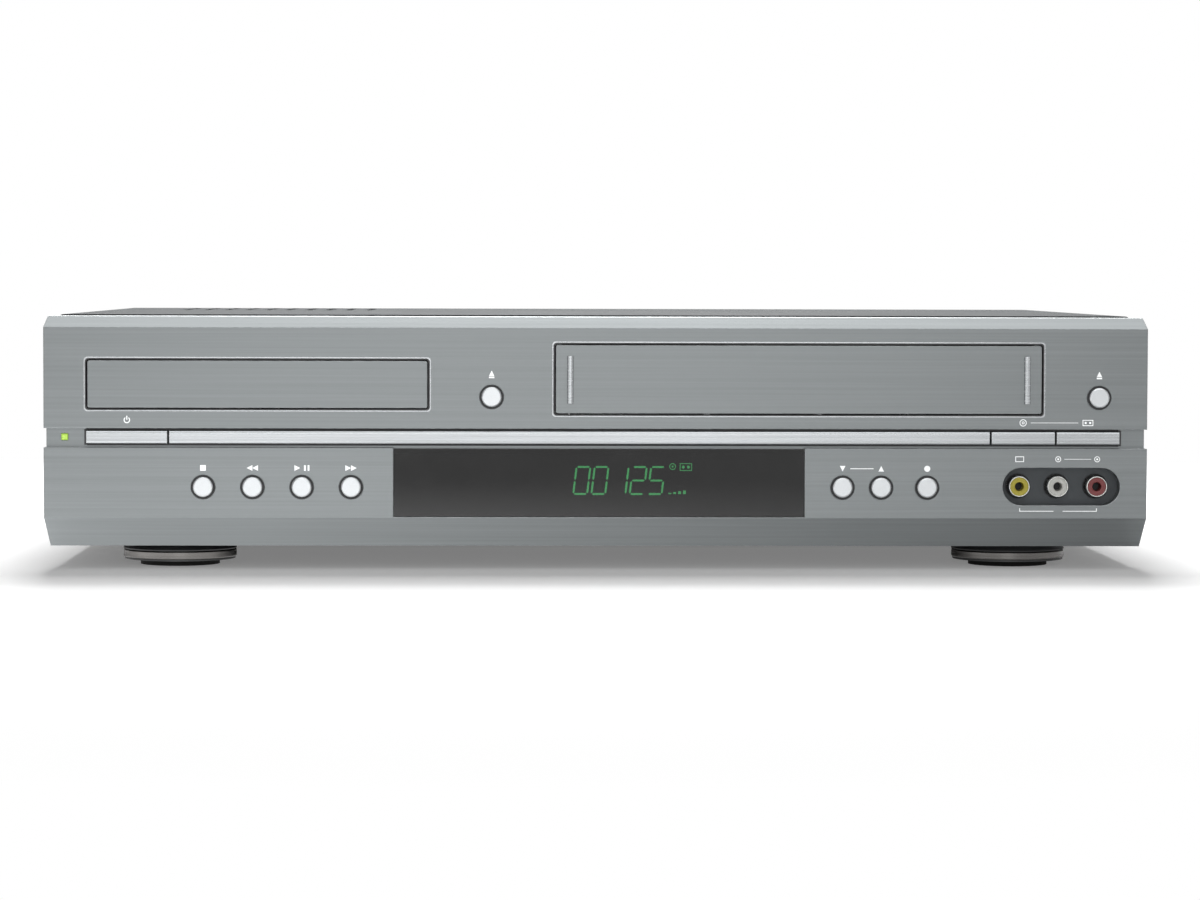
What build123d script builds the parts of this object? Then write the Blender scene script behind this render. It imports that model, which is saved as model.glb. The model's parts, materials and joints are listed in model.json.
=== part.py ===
from build123d import *
import os
from math import atan2, cos, degrees, hypot, pi, radians, sin

# A combined disc and cassette player: steel chassis and cover behind a moulded fascia,
# with a disc loader on the left and a video cassette deck on the right.
# X runs right, Y runs back from the front, Z runs up. The origin is at the middle of
# the underside. Depths named _d are measured back from the flat front of the fascia.

# ------------------------------------------------------------------ overall sizes
left_margin = 16.6      # from the left edge to the gap round the tray door
tray_door_w = 132.6
middle_w = 49.2         # between the two doors
flap_w = 190.5
right_margin = 41.1
fascia_w = left_margin + tray_door_w + middle_w + flap_w + right_margin
half_w = fascia_w / 2
fascia_depth = 22.0
fascia_bottom = 9.0
fascia_top = 98.5
fascia_wall = 2.5
cover_inset = 3.0
cover_top = 99.0
body_depth = 315.0
sheet = 1.0
key_proud = 1.5
socket_reach = 8.5

front_y = key_proud - (key_proud + body_depth + socket_reach) / 2
running = 0.05       # radial play of a shaft in its bearing
slip = 0.3           # play between parts that slide past each other
seat_play = 0.2      # play round a part that is fixed in its opening

# ------------------------------------------------------------------ fascia
chin_top = 20.2      # where the lower face starts to lean back
chin_lean = 5.0
chin_taper = 2.0
brow_bottom = 94.2   # where the top edge starts to lean back
brow_lean = 4.3
brow_taper = 1.4
groove_bottom = 47.5
groove_top = 55.0
groove_depth = 2.5
groove_side_depth = 0.8
groove_wall = 2.5
groove_web = 2.5        # how far the groove's wall runs on above and below it

# ------------------------------------------------------------------ openings in the fascia
door_gap = 0.4       # from the edge of a door to the middle of the gap round it
tray_gap_x = (-half_w + left_margin, -half_w + left_margin + tray_door_w)
tray_gap_z = (62.6, 81.7)
flap_gap_x = (half_w - right_margin - flap_w, half_w - right_margin)
flap_gap_z = (60.65, 87.96)
door_corner = 1.0
window_z = (20.5, 47.5)
window_ear = 4.0
window_ear_thick = 1.5
window_ear_inset = 6.0

# ------------------------------------------------------------------ keys
key_r = 3.9
key_hole_r = 4.7
key_edge = 0.5
key_flange_w = 11.0
key_flange_h = 8.0
key_flange_thick = 1.2
key_stem = 3.0
key_travel = 0.8
switch_gap = 0.2
switch_body = 6.0
switch_body_depth = 4.0
switch_plunger = 3.4
switch_plunger_depth = 1.0
lower_key_z = 32.2
upper_key_z = 67.4
stop_x = tray_gap_x[0] + 45.1
key_pitch = 19.15
forward_x = stop_x + 3 * key_pitch
channel_down_x = flap_gap_x[1] - 78.1
open_close_x = (tray_gap_x[1] + flap_gap_x[0]) / 2
round_keys = {
    "stop_key": (stop_x, lower_key_z),
    "rewind_key": (stop_x + key_pitch, lower_key_z),
    "play_key": (stop_x + 2 * key_pitch, lower_key_z),
    "forward_key": (forward_x, lower_key_z),
    "channel_down_key": (channel_down_x, lower_key_z),
    "channel_up_key": (channel_down_x + 15.1, lower_key_z),
    "record_key": (channel_down_x + 33.1, lower_key_z),
    "open_close_key": (open_close_x, upper_key_z),
    "eject_key": (half_w - 18.9, upper_key_z),
}
window_x = (forward_x + 16.45, channel_down_x - 14.8)
bar_z = (48.95, 54.1)
bar_proud = 1.0
bar_key_gap = 0.8
trim_peg_pitch = 100.0
trim_peg = 3.0
bar_keys = {
    "power_key": (tray_gap_x[0], tray_gap_x[0] + 31.3),
    "disc_select_key": (half_w - 61.0, half_w - 36.3),
    "tape_select_key": (half_w - 36.3 + bar_key_gap, half_w - 11.0),
}
trim_bar_x = (bar_keys["power_key"][1] + bar_key_gap, bar_keys["disc_select_key"][0] - bar_key_gap)
lamp_x = -half_w + 7.9
lamp_half = 1.2
lamp_proud = 0.8        # how far the lamp stands out of the floor of the groove
lamp_edge = 0.4

# ------------------------------------------------------------------ front board and sockets
board_thick = 1.6
front_board_d = 14.0
front_board_x = half_w - 7.0
front_board_z = (13.0, 58.0)
board_tab_top = 77.0
board_tabs_x = ((open_close_x - 15.0, open_close_x + 15.0), (half_w - 33.0, front_board_x))
display_inset = 18.0
display_z = (23.0, 45.0)
display_depth = 6.0
display_corner = 1.5
boss_half = 2.5
bosses_x = (stop_x - 22.7, forward_x + 6.0, channel_down_x - 8.0, channel_down_x + 49.0)
boss_z = 19.0
recess_x = (half_w - 56.5, half_w - 10.5)
recess_z = (25.3, 40.0)
recess_depth = 6.0
recess_rim = 1.5
socket_plate_thick = 2.0
socket_r = 4.15
socket_collar_r = 4.6   # the barrel is thicker where it passes through the plate
socket_bore_r = 1.6
socket_body = 11.0
front_sockets = {
    "video_socket": half_w - 49.9,
    "left_audio_socket": half_w - 34.8,
    "right_audio_socket": half_w - 19.5,
}

# ------------------------------------------------------------------ chassis, cover and feet
pan_side_h = 27.0
pan_front_h = 11.0
cover_corner = 2.5
cover_bottom = 9.5
lip_h = 12.0
panel_top_gap = 0.5
foot_x = half_w - 50.0
foot_front_d = 34.0
foot_rear_d = body_depth - 40.0
foot_r = 22.5
pad_r = 15.7
pad_h = 2.0
screw_head_r = 3.6
screw_head_h = 1.8
screw_r = 1.8
screw_length = 6.0
screw_head_sides = 6
side_screw_z = 28.0
side_screw_d = (60.0, body_depth - 53.0)
rear_screw_x = (-150.0, 0.0, 150.0)
vent_w = 3.0
vent_l = 34.0
vent_pitch = 9.0
vent_count = 10
vent_row_gap = 8.0
foot_to_vent = 9.5
pan_vent_d = foot_rear_d - foot_r - vent_l / 2 - foot_to_vent
panel_vent_up = 60.0    # from the floor of the pan to the middle of the slots
tab_inset = 8.0
tab_half = 5.0
panel_flange_w = 10.0
panel_flange_drop = 20.0

# ------------------------------------------------------------------ disc loader
loader_wall = 3.5
loader_front_d = 24.0
loader_back_d = 182.0
loader_top = 80.0
loader_skirt = 8.0      # how far the side walls reach below the floor
loader_legs_d = ((30.0, 42.0), (162.0, 174.0))
loader_foot = 8.0
loader_foot_thick = 2.0
ledge_w = 4.5
ledge_thick = 2.5
lip_w = 3.0
lip_start = 6.0
loader_cross_low = 7.0
loader_cross_high = 1.0
hinge_lug_half = 4.0
hinge_lug_w = 4.0
tray_w = 128.0
tray_front_d = 4.5
tray_length = 165.5
tray_z = (68.0, 74.0)
rail_w = 6.0
rail_h = 4.0
rail_end = 4.0
door_lug_x = 40.0       # the lugs that hold the door to the tray
door_lug_half = 8.0
door_lug_below = 2.0
door_lug_above = 4.0
disc_d = 80.0
disc_well_r = 60.5
disc_well_depth = 2.2
small_well_r = 41.0
small_well_depth = 3.8
tray_slot_w = 38.0
tray_slot_corner = 9.5
tray_travel = 135.0
gear_module = 1.25
gear_teeth = 20
tooth_tip = 0.8 * gear_module
tooth_root = 1.25 * gear_module
spare_teeth = 3         # rack teeth past the travel
gear_d = 28.0
gear_thick = 3.4
tooth_share = 0.40   # part of the pitch that a tooth fills at its middle
tooth_slope = 0.36
motor_r = 12.0
motor_l = 24.0
motor_shaft_r = 1.5
clamp_bottom = 76.2
clamp_r = 15.5
clamp_flange_r = 18.0
clamp_flange_thick = 1.5
clamp_play = 0.9
bridge_corner = 4.0
bridge_thick = 1.6
bridge_w = 38.0

# ------------------------------------------------------------------ traverse under the tray
spindle_v = -85.0       # from the hinge to the spindle; v runs back along the traverse
hinge_d = disc_d - spindle_v
hinge_z = 61.0
drop_angle = 4.8     # the traverse lies this far below level at rest
traverse_w = 60.0
traverse_front = spindle_v - 23.0
traverse_thick = 2.0
traverse_corner = 8.0
traverse_gap = 5.0      # from the floor of the loader frame
hinge_bar = 6.0
hinge_pin_r = 2.0
turntable_r = 13.5
turntable_top = 11.6
turntable_thick = 2.0
hub_r = 7.3
hub_h = 1.9
spindle_stem_r = 4.0
spindle_motor_r = 13.0
spindle_motor_h = 7.0
spindle_boss_r = 5.0
spindle_boss_h = 2.0
lens_v = spindle_v + 24.0
lens_top = 10.2
lens_r = 4.0
lens_wall = 1.5
pickup_w = 37.0
pickup_l = 20.0
pickup_w_low = -4.0
pickup_w_high = 5.0
pickup_travel = 34.0
pickup_notch_r = 6.0
rod_u = 15.0
rod_w = -1.0
rod_r = 1.5
screw_u = 24.0
screw_w = -6.0
lead_r = 1.5
lead_gear_r = 3.5
lead_lug_l = 3.0
lead_gear_l = 2.0
lead_lugs_v = (spindle_v + 17.0, -16.0)

# ------------------------------------------------------------------ cassette flap
flap_thick = 2.0
flap_arm = 2.5
flap_pivot_d = 6.2
flap_pivot_z = 92.0
flap_pivot_r = 1.5
flap_hub_r = 3.2
flap_trim_w = 2.4
flap_trim_z = (64.9, 83.4)
flap_trim_proud = 1.2
flap_trim_inset = 5.6
ear_thick = 2.5
ear_wall = 2.5          # round the hole for the pivot
flap_arm_root = 1.4
flap_trim_round = 0.9

# ------------------------------------------------------------------ cassette deck
cassette_floor = 60.6
deck_z = 36.0
deck_sheet = 1.2
deck_d = (50.0, 257.0)
deck_side_in = flap_w / 2 + 3.75
deck_side_d = (40.0, 190.0)
deck_side_top = 92.0
deck_leg = 12.0
deck_rib = 6.0          # the sides between the legs, below the deck
deck_flange = 10.0      # the sides above the deck, behind the carriage
slider_in = deck_side_in - 1.8
slider_d = (44.0, 96.0)
slider_top = 92.0
slider_bottom = 52.0
slider_pin_z = 84.0
slider_pins_d = (52.0, 88.0)
slider_pin_past = 0.8   # how far its pins stand out of the deck's sides
slider_rail = 14.0
carriage_travel = 70.0
carriage_drop = 18.0
slider_window_half = 70.0
basket_in = slider_in - 2.7
basket_d = (40.0, 94.0)
basket_top = 87.5
basket_sheet = 1.0
basket_strip = 18.5
basket_stop_w = 14.0
basket_stop_h = 15.0
basket_rail = 14.0
basket_window_u = 45.0
basket_window_half = 32.0
basket_pin_z = 78.0
basket_pins_d = (60.0, 80.0)
guide_pin_r = 1.8
reel_pitch = 92.0
reel_d = 112.0
reel_flange_r = 22.0
reel_flange_z = (39.0, 41.5)
reel_spindle_r = 5.0
reel_top = 58.5
drum_d = 206.0
drum_r = 31.0
drum_foot_r = 27.0
drum_tilt = 5.9
drum_base_h = 6.0
lower_drum_h = 16.0
upper_drum_h = 14.0
head_notch = (2.4, 5.0)
drum_rim_w = 9.0
drum_recess = 3.0
capstan_u = 60.0
capstan_d = 178.0
capstan_r = 1.5
capstan_top = 62.0
flywheel_r = 22.0
flywheel_z = (26.0, 31.0)
pinch_pivot_u = 80.0
pinch_pivot_d = 196.0
pinch_roller_u = 76.0
pinch_roller_d = 174.0
pinch_roller_r = 7.0
pinch_post_r = 2.5
pinch_arm_r = 5.0
pinch_arm_z = (46.0, 48.0)
pinch_roller_z = (48.5, 60.0)
guide_u = (24.0, 42.0)
guide_d = (152.0, 205.0)
guide_r = 7.0
guide_post_r = 2.5
guide_foot_h = 3.5
guide_cap_h = 1.5
guide_cap_lip = 1.2
guide_top = 58.0
track_w = 5.0
bearing_r = 5.0
bearing_h = 7.0
reel_post_r = 2.0
reel_ribs = 3
reel_rib_l = 4.0
reel_rib_w = 1.6
reel_rib_end = 2.0
reel_post_top = 49.5
motor_flat = 2.0        # cut from the top and bottom of the lying motor
motor_worm_l = 12.0
motor_worm_r = 3.0
deck_motor_u = -72.0
deck_motor_d = 232.0

# ------------------------------------------------------------------ boards and rear sockets
board_gap = 4.0
board_back_gap = 5.0
main_board_w = 180.0
main_board_front_d = 30.0
power_board_w = 134.0
power_board_left = 72.0          # from the middle of the tray
chip_h = 2.0
chips = ((30.0, 90.0, 18.0), (80.0, 130.0, 22.0), (120.0, 200.0, 14.0), (40.0, 210.0, 14.0))
core_half = (20.0, 16.0)         # of the transformer
winding_half = (14.0, 12.0)
core_h = 8.0
winding_h = 16.0
capacitors = ((12.0, 11.0, 32.0), (-16.0, 8.0, 24.0))
capacitor_left = 42.0
sink_right = 38.0
sink_front = -35.0
sink_thick = 2.0
sink_h = 34.0
fin_count = 7
fin_pitch = 10.0
fin_l = 10.0
power_board_front_gap = 16.0     # behind the loader frame
rear_block_w = 60.0
rear_block_inset = 6.0           # from the left edge of the main board
block_neck = 4.0
rear_block_z = (18.0, 58.0)
rear_block_depth = 20.0
rear_socket_pitch = 16.0
rear_socket_rows = 2
rear_socket_columns = 3
tuner_w = 56.0
tuner_inset = 8.0                # from the right edge of the main board
tuner_gap = 6.0                  # behind the deck
tuner_neck = 6.0
tuner_z = (20.0, 58.0)
aerial_pitch = 26.0
aerial_r = 4.7
aerial_reach = 7.0
aerial_play = 1.5
inlet_inset = 22.0
inlet_w = 26.0
inlet_h = 18.0
inlet_depth = 14.0
inlet_rim_w = 3.0
inlet_rim_h = 2.0
plug_w = 16.0
plug_h = 9.0
plug_corner = 2.0
plug_pin = 2.4
plug_pin_pitch = 8.0
plug_depth = 11.0
inlet_z = 40.0

# ------------------------------------------------------------------ worked out from these
cover_half = half_w - cover_inset
cover_w = 2 * cover_half
inside_half = cover_half - sheet
pan_half = inside_half - slip
pan_floor = fascia_bottom + sheet
panel_d = body_depth - 2 * sheet       # inner face of the rear panel
tray_x = (tray_gap_x[0] + tray_gap_x[1]) / 2
deck_x = (flap_gap_x[0] + flap_gap_x[1]) / 2
groove_back_d = groove_depth + groove_wall
switch_face_d = front_board_d - switch_body_depth - switch_plunger_depth
stem_end_d = switch_face_d - switch_gap - key_travel
board_z = pan_floor + board_gap
deck_top = deck_z + deck_sheet
main_board_x = (deck_x - main_board_w / 2, deck_x + main_board_w / 2)
main_board_d = (main_board_front_d, panel_d - board_back_gap)
power_board_x = (tray_x - power_board_left, tray_x - power_board_left + power_board_w)
power_board_d = (loader_back_d + power_board_front_gap, panel_d - board_back_gap)
rear_block_x = (main_board_x[0] + rear_block_inset, main_board_x[0] + rear_block_inset + rear_block_w)
tuner_x = (main_board_x[1] - tuner_inset - tuner_w, main_board_x[1] - tuner_inset)
tuner_front_d = deck_d[1] + tuner_gap
inlet_x = power_board_x[0] + inlet_inset

os.makedirs("parts", exist_ok=True)


def save(piece, name):
    """Label a finished piece and write it."""
    piece.part.label = name
    export_step(piece.part, f"parts/{name}.step")


def at(depth):
    """The Y of a point this far behind the front plane."""
    return front_y + depth


def facing(depth):
    """A plane seen from the front: its x is X and its y is Z."""
    return Plane((0, at(depth), 0), x_dir=(1, 0, 0), z_dir=(0, -1, 0))


def across(x):
    """A plane seen from the right: its x is Y and its y is Z."""
    return Plane((x, 0, 0), x_dir=(0, 1, 0), z_dir=(1, 0, 0))


def block(xs, ds, zs, mode=Mode.ADD):
    """Add or cut a box between two X, two depths and two Z."""
    x, d, z = sorted(xs), sorted(ds), sorted(zs)
    with Locations(((x[0] + x[1]) / 2, at((d[0] + d[1]) / 2), (z[0] + z[1]) / 2)):
        Box(x[1] - x[0], d[1] - d[0], z[1] - z[0], mode=mode)


def peg(x, depth, z_low, z_high, radius, mode=Mode.ADD):
    """Add or cut an upright cylinder."""
    with Locations((x, at(depth), (z_low + z_high) / 2)):
        Cylinder(radius, z_high - z_low, mode=mode)


def front_peg(x, z, d_low, d_high, radius, mode=Mode.ADD):
    """Add or cut a cylinder that runs front to back."""
    with Locations((x, at((d_low + d_high) / 2), z)):
        Cylinder(radius, d_high - d_low, rotation=(90, 0, 0), mode=mode)


def sides_for(radius):
    """How many sides a round form has where nothing turns or fits on it."""
    return 12 if radius < 3 else 20 if radius < 8 else 28


def post(x, depth, z_low, z_high, radius, mode=Mode.ADD):
    """Add or cut an upright round form with few sides."""
    with BuildSketch(Plane((x, at(depth), z_low))) as outline:
        RegularPolygon(radius, sides_for(radius), major_radius=mode is Mode.ADD)
    extrude(outline.sketch, amount=z_high - z_low, mode=mode)


def front_post(x, z, d_low, d_high, radius, mode=Mode.ADD):
    """Add or cut a round form with few sides that runs front to back."""
    with BuildSketch(facing(d_low)) as outline:
        with Locations((x, z)):
            RegularPolygon(radius, sides_for(radius), major_radius=mode is Mode.ADD)
    extrude(outline.sketch, amount=d_low - d_high, mode=mode)


def side_post(x_low, x_high, depth, z, radius, mode=Mode.ADD):
    """Add or cut a round form with few sides that runs left to right."""
    with BuildSketch(across(min(x_low, x_high))) as outline:
        with Locations((at(depth), z)):
            RegularPolygon(radius, sides_for(radius), major_radius=mode is Mode.ADD)
    extrude(outline.sketch, amount=abs(x_high - x_low), mode=mode)


def side_peg(x_low, x_high, depth, z, radius, mode=Mode.ADD):
    """Add or cut a cylinder that runs left to right."""
    with Locations(((x_low + x_high) / 2, at(depth), z)):
        Cylinder(radius, abs(x_high - x_low), rotation=(0, 90, 0), mode=mode)


def rounded_panel(xs, zs, depth, thick, corner, mode=Mode.ADD):
    """Add or cut a plate with rounded corners, seen from the front."""
    with BuildSketch(facing(depth)) as outline:
        with Locations(((xs[0] + xs[1]) / 2, (zs[0] + zs[1]) / 2)):
            RectangleRounded(xs[1] - xs[0], zs[1] - zs[0], corner)
    extrude(outline.sketch, amount=-thick, mode=mode)


def stadium(xs, zs, grow, depth, thick, mode=Mode.ADD):
    """Add or cut a plate with round ends, seen from the front."""
    with BuildSketch(facing(depth)) as outline:
        with Locations(((xs[0] + xs[1]) / 2, (zs[0] + zs[1]) / 2)):
            SlotOverall(xs[1] - xs[0] + 2 * grow, zs[1] - zs[0] + 2 * grow)
    extrude(outline.sketch, amount=-thick, mode=mode)


def grown(pair, amount):
    """A pair of limits moved apart by this much at each end."""
    return (pair[0] - amount, pair[1] + amount)


def tooth_corners(radius, outer, root, teeth):
    """The corners of a spur gear with straight-sided teeth, one of them along +X."""
    corners = []
    for tooth in range(teeth):
        for side, heights in ((-1, (root, outer)), (1, (outer, root))):
            for height in heights:
                half = tooth_share * pi * gear_module / 2 - tooth_slope * (height - radius)
                angle = tooth * 2 * pi / teeth + side * half / radius
                corners.append((height * cos(angle), height * sin(angle)))
    return corners


# ================================================================== fascia
side_outline = [
    (at(fascia_depth), fascia_bottom),
    (at(chin_lean), fascia_bottom),
    (at(0), chin_top),
    (at(0), brow_bottom),
    (at(brow_lean), fascia_top),
    (at(fascia_depth), fascia_top),
]
half_outline = [
    (0, fascia_bottom),
    (fascia_w / 2 - chin_taper, fascia_bottom),
    (fascia_w / 2, chin_top),
    (fascia_w / 2, brow_bottom),
    (fascia_w / 2 - brow_taper, fascia_top),
    (0, fascia_top),
]
tray_x_open = grown(tray_gap_x, door_gap)
tray_z_open = grown(tray_gap_z, door_gap)
flap_x_open = grown(flap_gap_x, door_gap)
flap_z_open = grown(flap_gap_z, door_gap)
flap_x = grown(flap_gap_x, -door_gap)
flap_z = grown(flap_gap_z, -door_gap)
bar_middle = sum(bar_z) / 2
ears_x = (
    (flap_x[0] - door_gap - ear_thick, flap_x[0] - door_gap),
    (flap_x[1] + door_gap, flap_x[1] + door_gap + ear_thick),
)

with BuildPart() as fascia:
    with BuildSketch(across(-fascia_w / 2)):
        with BuildLine():
            Polyline(*side_outline, close=True)
        make_face()
    extrude(amount=fascia_w)
    with BuildSketch(facing(-1)):
        with BuildLine():
            Polyline(*half_outline, close=True)
        make_face()
        mirror(about=Plane.YZ)
    extrude(amount=-fascia_depth - 2, mode=Mode.INTERSECT)
    back = fascia.faces().sort_by(Axis.Y)[-1]
    offset(amount=-fascia_wall, openings=back, kind=Kind.INTERSECTION)
    # The groove, with its own wall behind it, runs round on to both sides.
    inner_half = fascia_w / 2 - fascia_wall
    groove_z = (groove_bottom, groove_top)
    block((-inner_half, inner_half), (fascia_wall, groove_back_d), grown(groove_z, groove_web))
    block((-fascia_w, fascia_w), (-1, groove_depth), groove_z, Mode.SUBTRACT)
    for side in (-1, 1):
        groove_side = (side * (fascia_w / 2 - groove_side_depth), side * fascia_w)
        block(groove_side, (0, fascia_depth), groove_z, Mode.SUBTRACT)
    # Doors, display window and keys.
    rounded_panel(tray_x_open, tray_z_open, -1, fascia_wall + 2, door_corner, Mode.SUBTRACT)
    rounded_panel(flap_x_open, flap_z_open, -1, fascia_wall + 2, door_corner, Mode.SUBTRACT)
    block(window_x, (-1, fascia_wall), window_z, Mode.SUBTRACT)
    for key_x, key_z in round_keys.values():
        front_post(key_x, key_z, -1, fascia_wall + 1, key_hole_r, Mode.SUBTRACT)
    for key_span in bar_keys.values():
        block(grown(key_span, slip), (-1, groove_back_d + 1), grown(bar_z, slip), Mode.SUBTRACT)
    hole_d = (0, groove_back_d + 1)
    peg_hole = (trim_peg + seat_play) / 2
    for peg_x in (-trim_peg_pitch, 0, trim_peg_pitch):
        block((peg_x - peg_hole, peg_x + peg_hole), hole_d, (bar_middle - peg_hole, bar_middle + peg_hole),
              Mode.SUBTRACT)
    lamp_hole = lamp_half + seat_play / 2
    block((lamp_x - lamp_hole, lamp_x + lamp_hole), hole_d, (bar_middle - lamp_hole, bar_middle + lamp_hole),
          Mode.SUBTRACT)
    # The recess for the front sockets has a collar behind it.
    stadium(recess_x, recess_z, recess_rim, fascia_wall, recess_depth - fascia_wall)
    stadium(recess_x, recess_z, 0, -1, recess_depth + 2, Mode.SUBTRACT)
    # Bosses carry the front board, and ears carry the cassette flap.
    for boss_x in bosses_x:
        block((boss_x - boss_half, boss_x + boss_half), (fascia_wall, front_board_d),
              (boss_z - boss_half, boss_z + boss_half))
    ear_back = flap_pivot_d + flap_pivot_r + ear_wall
    for ear in ears_x:
        block(ear, (fascia_wall, ear_back), (flap_z_open[1], fascia_top - fascia_wall))
        side_peg(ear[0] - 1, ear[1] + 1, flap_pivot_d, flap_pivot_z, flap_pivot_r + running, Mode.SUBTRACT)
save(fascia, "fascia")

# ------------------------------------------------------------------ trim bar, window, display, lamp
with BuildPart() as trim_bar:
    block(trim_bar_x, (-bar_proud, groove_depth), bar_z)
    bar_edges = trim_bar.faces().sort_by(Axis.Y)[0].edges().filter_by(Axis.X)
    fillet(bar_edges, bar_proud)
    for peg_x in (-trim_peg_pitch, 0, trim_peg_pitch):
        block((peg_x - trim_peg / 2, peg_x + trim_peg / 2), (groove_depth, groove_back_d + 1),
              (bar_middle - trim_peg / 2, bar_middle + trim_peg / 2))
save(trim_bar, "trim_bar")

with BuildPart() as display_window:
    block(grown(window_x, -seat_play), (0, fascia_wall), grown(window_z, -seat_play))
    ear_z = grown(window_z, -window_ear_inset)
    window_back = (fascia_wall, fascia_wall + window_ear_thick)
    block((window_x[0] - window_ear, window_x[0] + window_ear), window_back, ear_z)
    block((window_x[1] - window_ear, window_x[1] + window_ear), window_back, ear_z)
save(display_window, "display_window")

with BuildPart() as display_tube:
    block(grown(window_x, -display_inset), (front_board_d - display_depth, front_board_d), display_z)
    chamfer(display_tube.edges().filter_by(Axis.Y), display_corner)
save(display_tube, "display_tube")

with BuildPart() as power_lamp:
    block((lamp_x - lamp_half, lamp_x + lamp_half), (groove_depth - lamp_proud, front_board_d),
          (bar_middle - lamp_half, bar_middle + lamp_half))
    chamfer(power_lamp.faces().sort_by(Axis.Y)[0].edges(), lamp_edge)
save(power_lamp, "power_lamp")

# ------------------------------------------------------------------ front board with its switches
with BuildPart() as front_board:
    board_slab = (front_board_d, front_board_d + board_thick)
    block((-front_board_x, front_board_x), board_slab, front_board_z)
    for tab in board_tabs_x:
        block(tab, board_slab, (front_board_z[1], board_tab_top))
    key_places = list(round_keys.values())
    key_places += [(sum(span) / 2, bar_middle) for span in bar_keys.values()]
    for key_x, key_z in key_places:
        half_body = switch_body / 2
        body_front = front_board_d - switch_body_depth
        block((key_x - half_body, key_x + half_body), (body_front, front_board_d),
              (key_z - half_body, key_z + half_body))
        half_plunger = switch_plunger / 2
        block((key_x - half_plunger, key_x + half_plunger), (switch_face_d, body_front),
              (key_z - half_plunger, key_z + half_plunger))
save(front_board, "front_board")

# ------------------------------------------------------------------ keys
for name, (key_x, key_z) in round_keys.items():
    with BuildPart() as round_key:
        flange_d = fascia_wall + slip
        front_post(key_x, key_z, -key_proud, flange_d, key_r)
        chamfer(round_key.faces().sort_by(Axis.Y)[0].edges(), key_edge)
        block((key_x - key_flange_w / 2, key_x + key_flange_w / 2),
              (flange_d, flange_d + key_flange_thick),
              (key_z - key_flange_h / 2, key_z + key_flange_h / 2))
        block((key_x - key_stem / 2, key_x + key_stem / 2),
              (flange_d + key_flange_thick, stem_end_d),
              (key_z - key_stem / 2, key_z + key_stem / 2))
    save(round_key, name)

for name, key_span in bar_keys.items():
    with BuildPart() as bar_key:
        key_x = sum(key_span) / 2
        key_z = bar_middle
        flange_d = groove_back_d + slip
        block(key_span, (-bar_proud, flange_d), bar_z)
        fillet(bar_key.faces().sort_by(Axis.Y)[0].edges().filter_by(Axis.X), bar_proud)
        block(grown(key_span, -2), (flange_d, flange_d + key_flange_thick), grown(bar_z, 1.0))
        block((key_x - key_stem / 2, key_x + key_stem / 2),
              (flange_d + key_flange_thick, stem_end_d),
              (key_z - key_stem / 2, key_z + key_stem / 2))
    save(bar_key, name)

# ------------------------------------------------------------------ front sockets
socket_z = sum(recess_z) / 2
plate_back_d = recess_depth + socket_plate_thick
with BuildPart() as jack_plate:
    stadium(recess_x, recess_z, recess_rim, recess_depth, socket_plate_thick)
    for socket_x in front_sockets.values():
        front_post(socket_x, socket_z, recess_depth - 1, plate_back_d + 1, socket_collar_r + seat_play,
                   Mode.SUBTRACT)
save(jack_plate, "jack_plate")

for name, socket_x in front_sockets.items():
    with BuildPart() as socket:
        front_peg(socket_x, socket_z, 0, recess_depth, socket_r)
        front_post(socket_x, socket_z, recess_depth, plate_back_d, socket_collar_r)
        front_post(socket_x, socket_z, -1, plate_back_d - 1, socket_bore_r, Mode.SUBTRACT)
        block((socket_x - socket_body / 2, socket_x + socket_body / 2), (plate_back_d, front_board_d),
              (socket_z - socket_body / 2, socket_z + socket_body / 2))
    save(socket, name)

# ================================================================== chassis pan
with BuildPart() as chassis_pan:
    block((-pan_half, pan_half), (fascia_depth, panel_d), (fascia_bottom, pan_floor))
    for side in (-1, 1):
        block((side * (pan_half - sheet), side * pan_half), (fascia_depth, panel_d),
              (fascia_bottom, fascia_bottom + pan_side_h))
        for screw_d in side_screw_d:
            side_post(side * (pan_half - 2), side * (pan_half + 1), screw_d, side_screw_z,
                      screw_r + running, Mode.SUBTRACT)
    block((-pan_half, pan_half), (fascia_depth, fascia_depth + sheet),
          (fascia_bottom, fascia_bottom + pan_front_h))
    # Raised tabs carry the boards.
    for board_x, board_d in ((main_board_x, main_board_d), (power_board_x, power_board_d)):
        for tab_x in grown(board_x, -tab_inset):
            for tab_d in grown(board_d, -tab_inset):
                block((tab_x - tab_half, tab_x + tab_half), (tab_d - tab_half, tab_d + tab_half),
                      (pan_floor, board_z))
    # Cooling slots under the power supply.
    with BuildSketch(Plane.XY.offset(fascia_bottom)):
        with Locations((sum(power_board_x) / 2, at(pan_vent_d))):
            with GridLocations(vent_pitch, 0, vent_count, 1):
                Rectangle(vent_w, vent_l)
    extrude(amount=sheet, mode=Mode.SUBTRACT)
save(chassis_pan, "chassis_pan")

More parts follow.
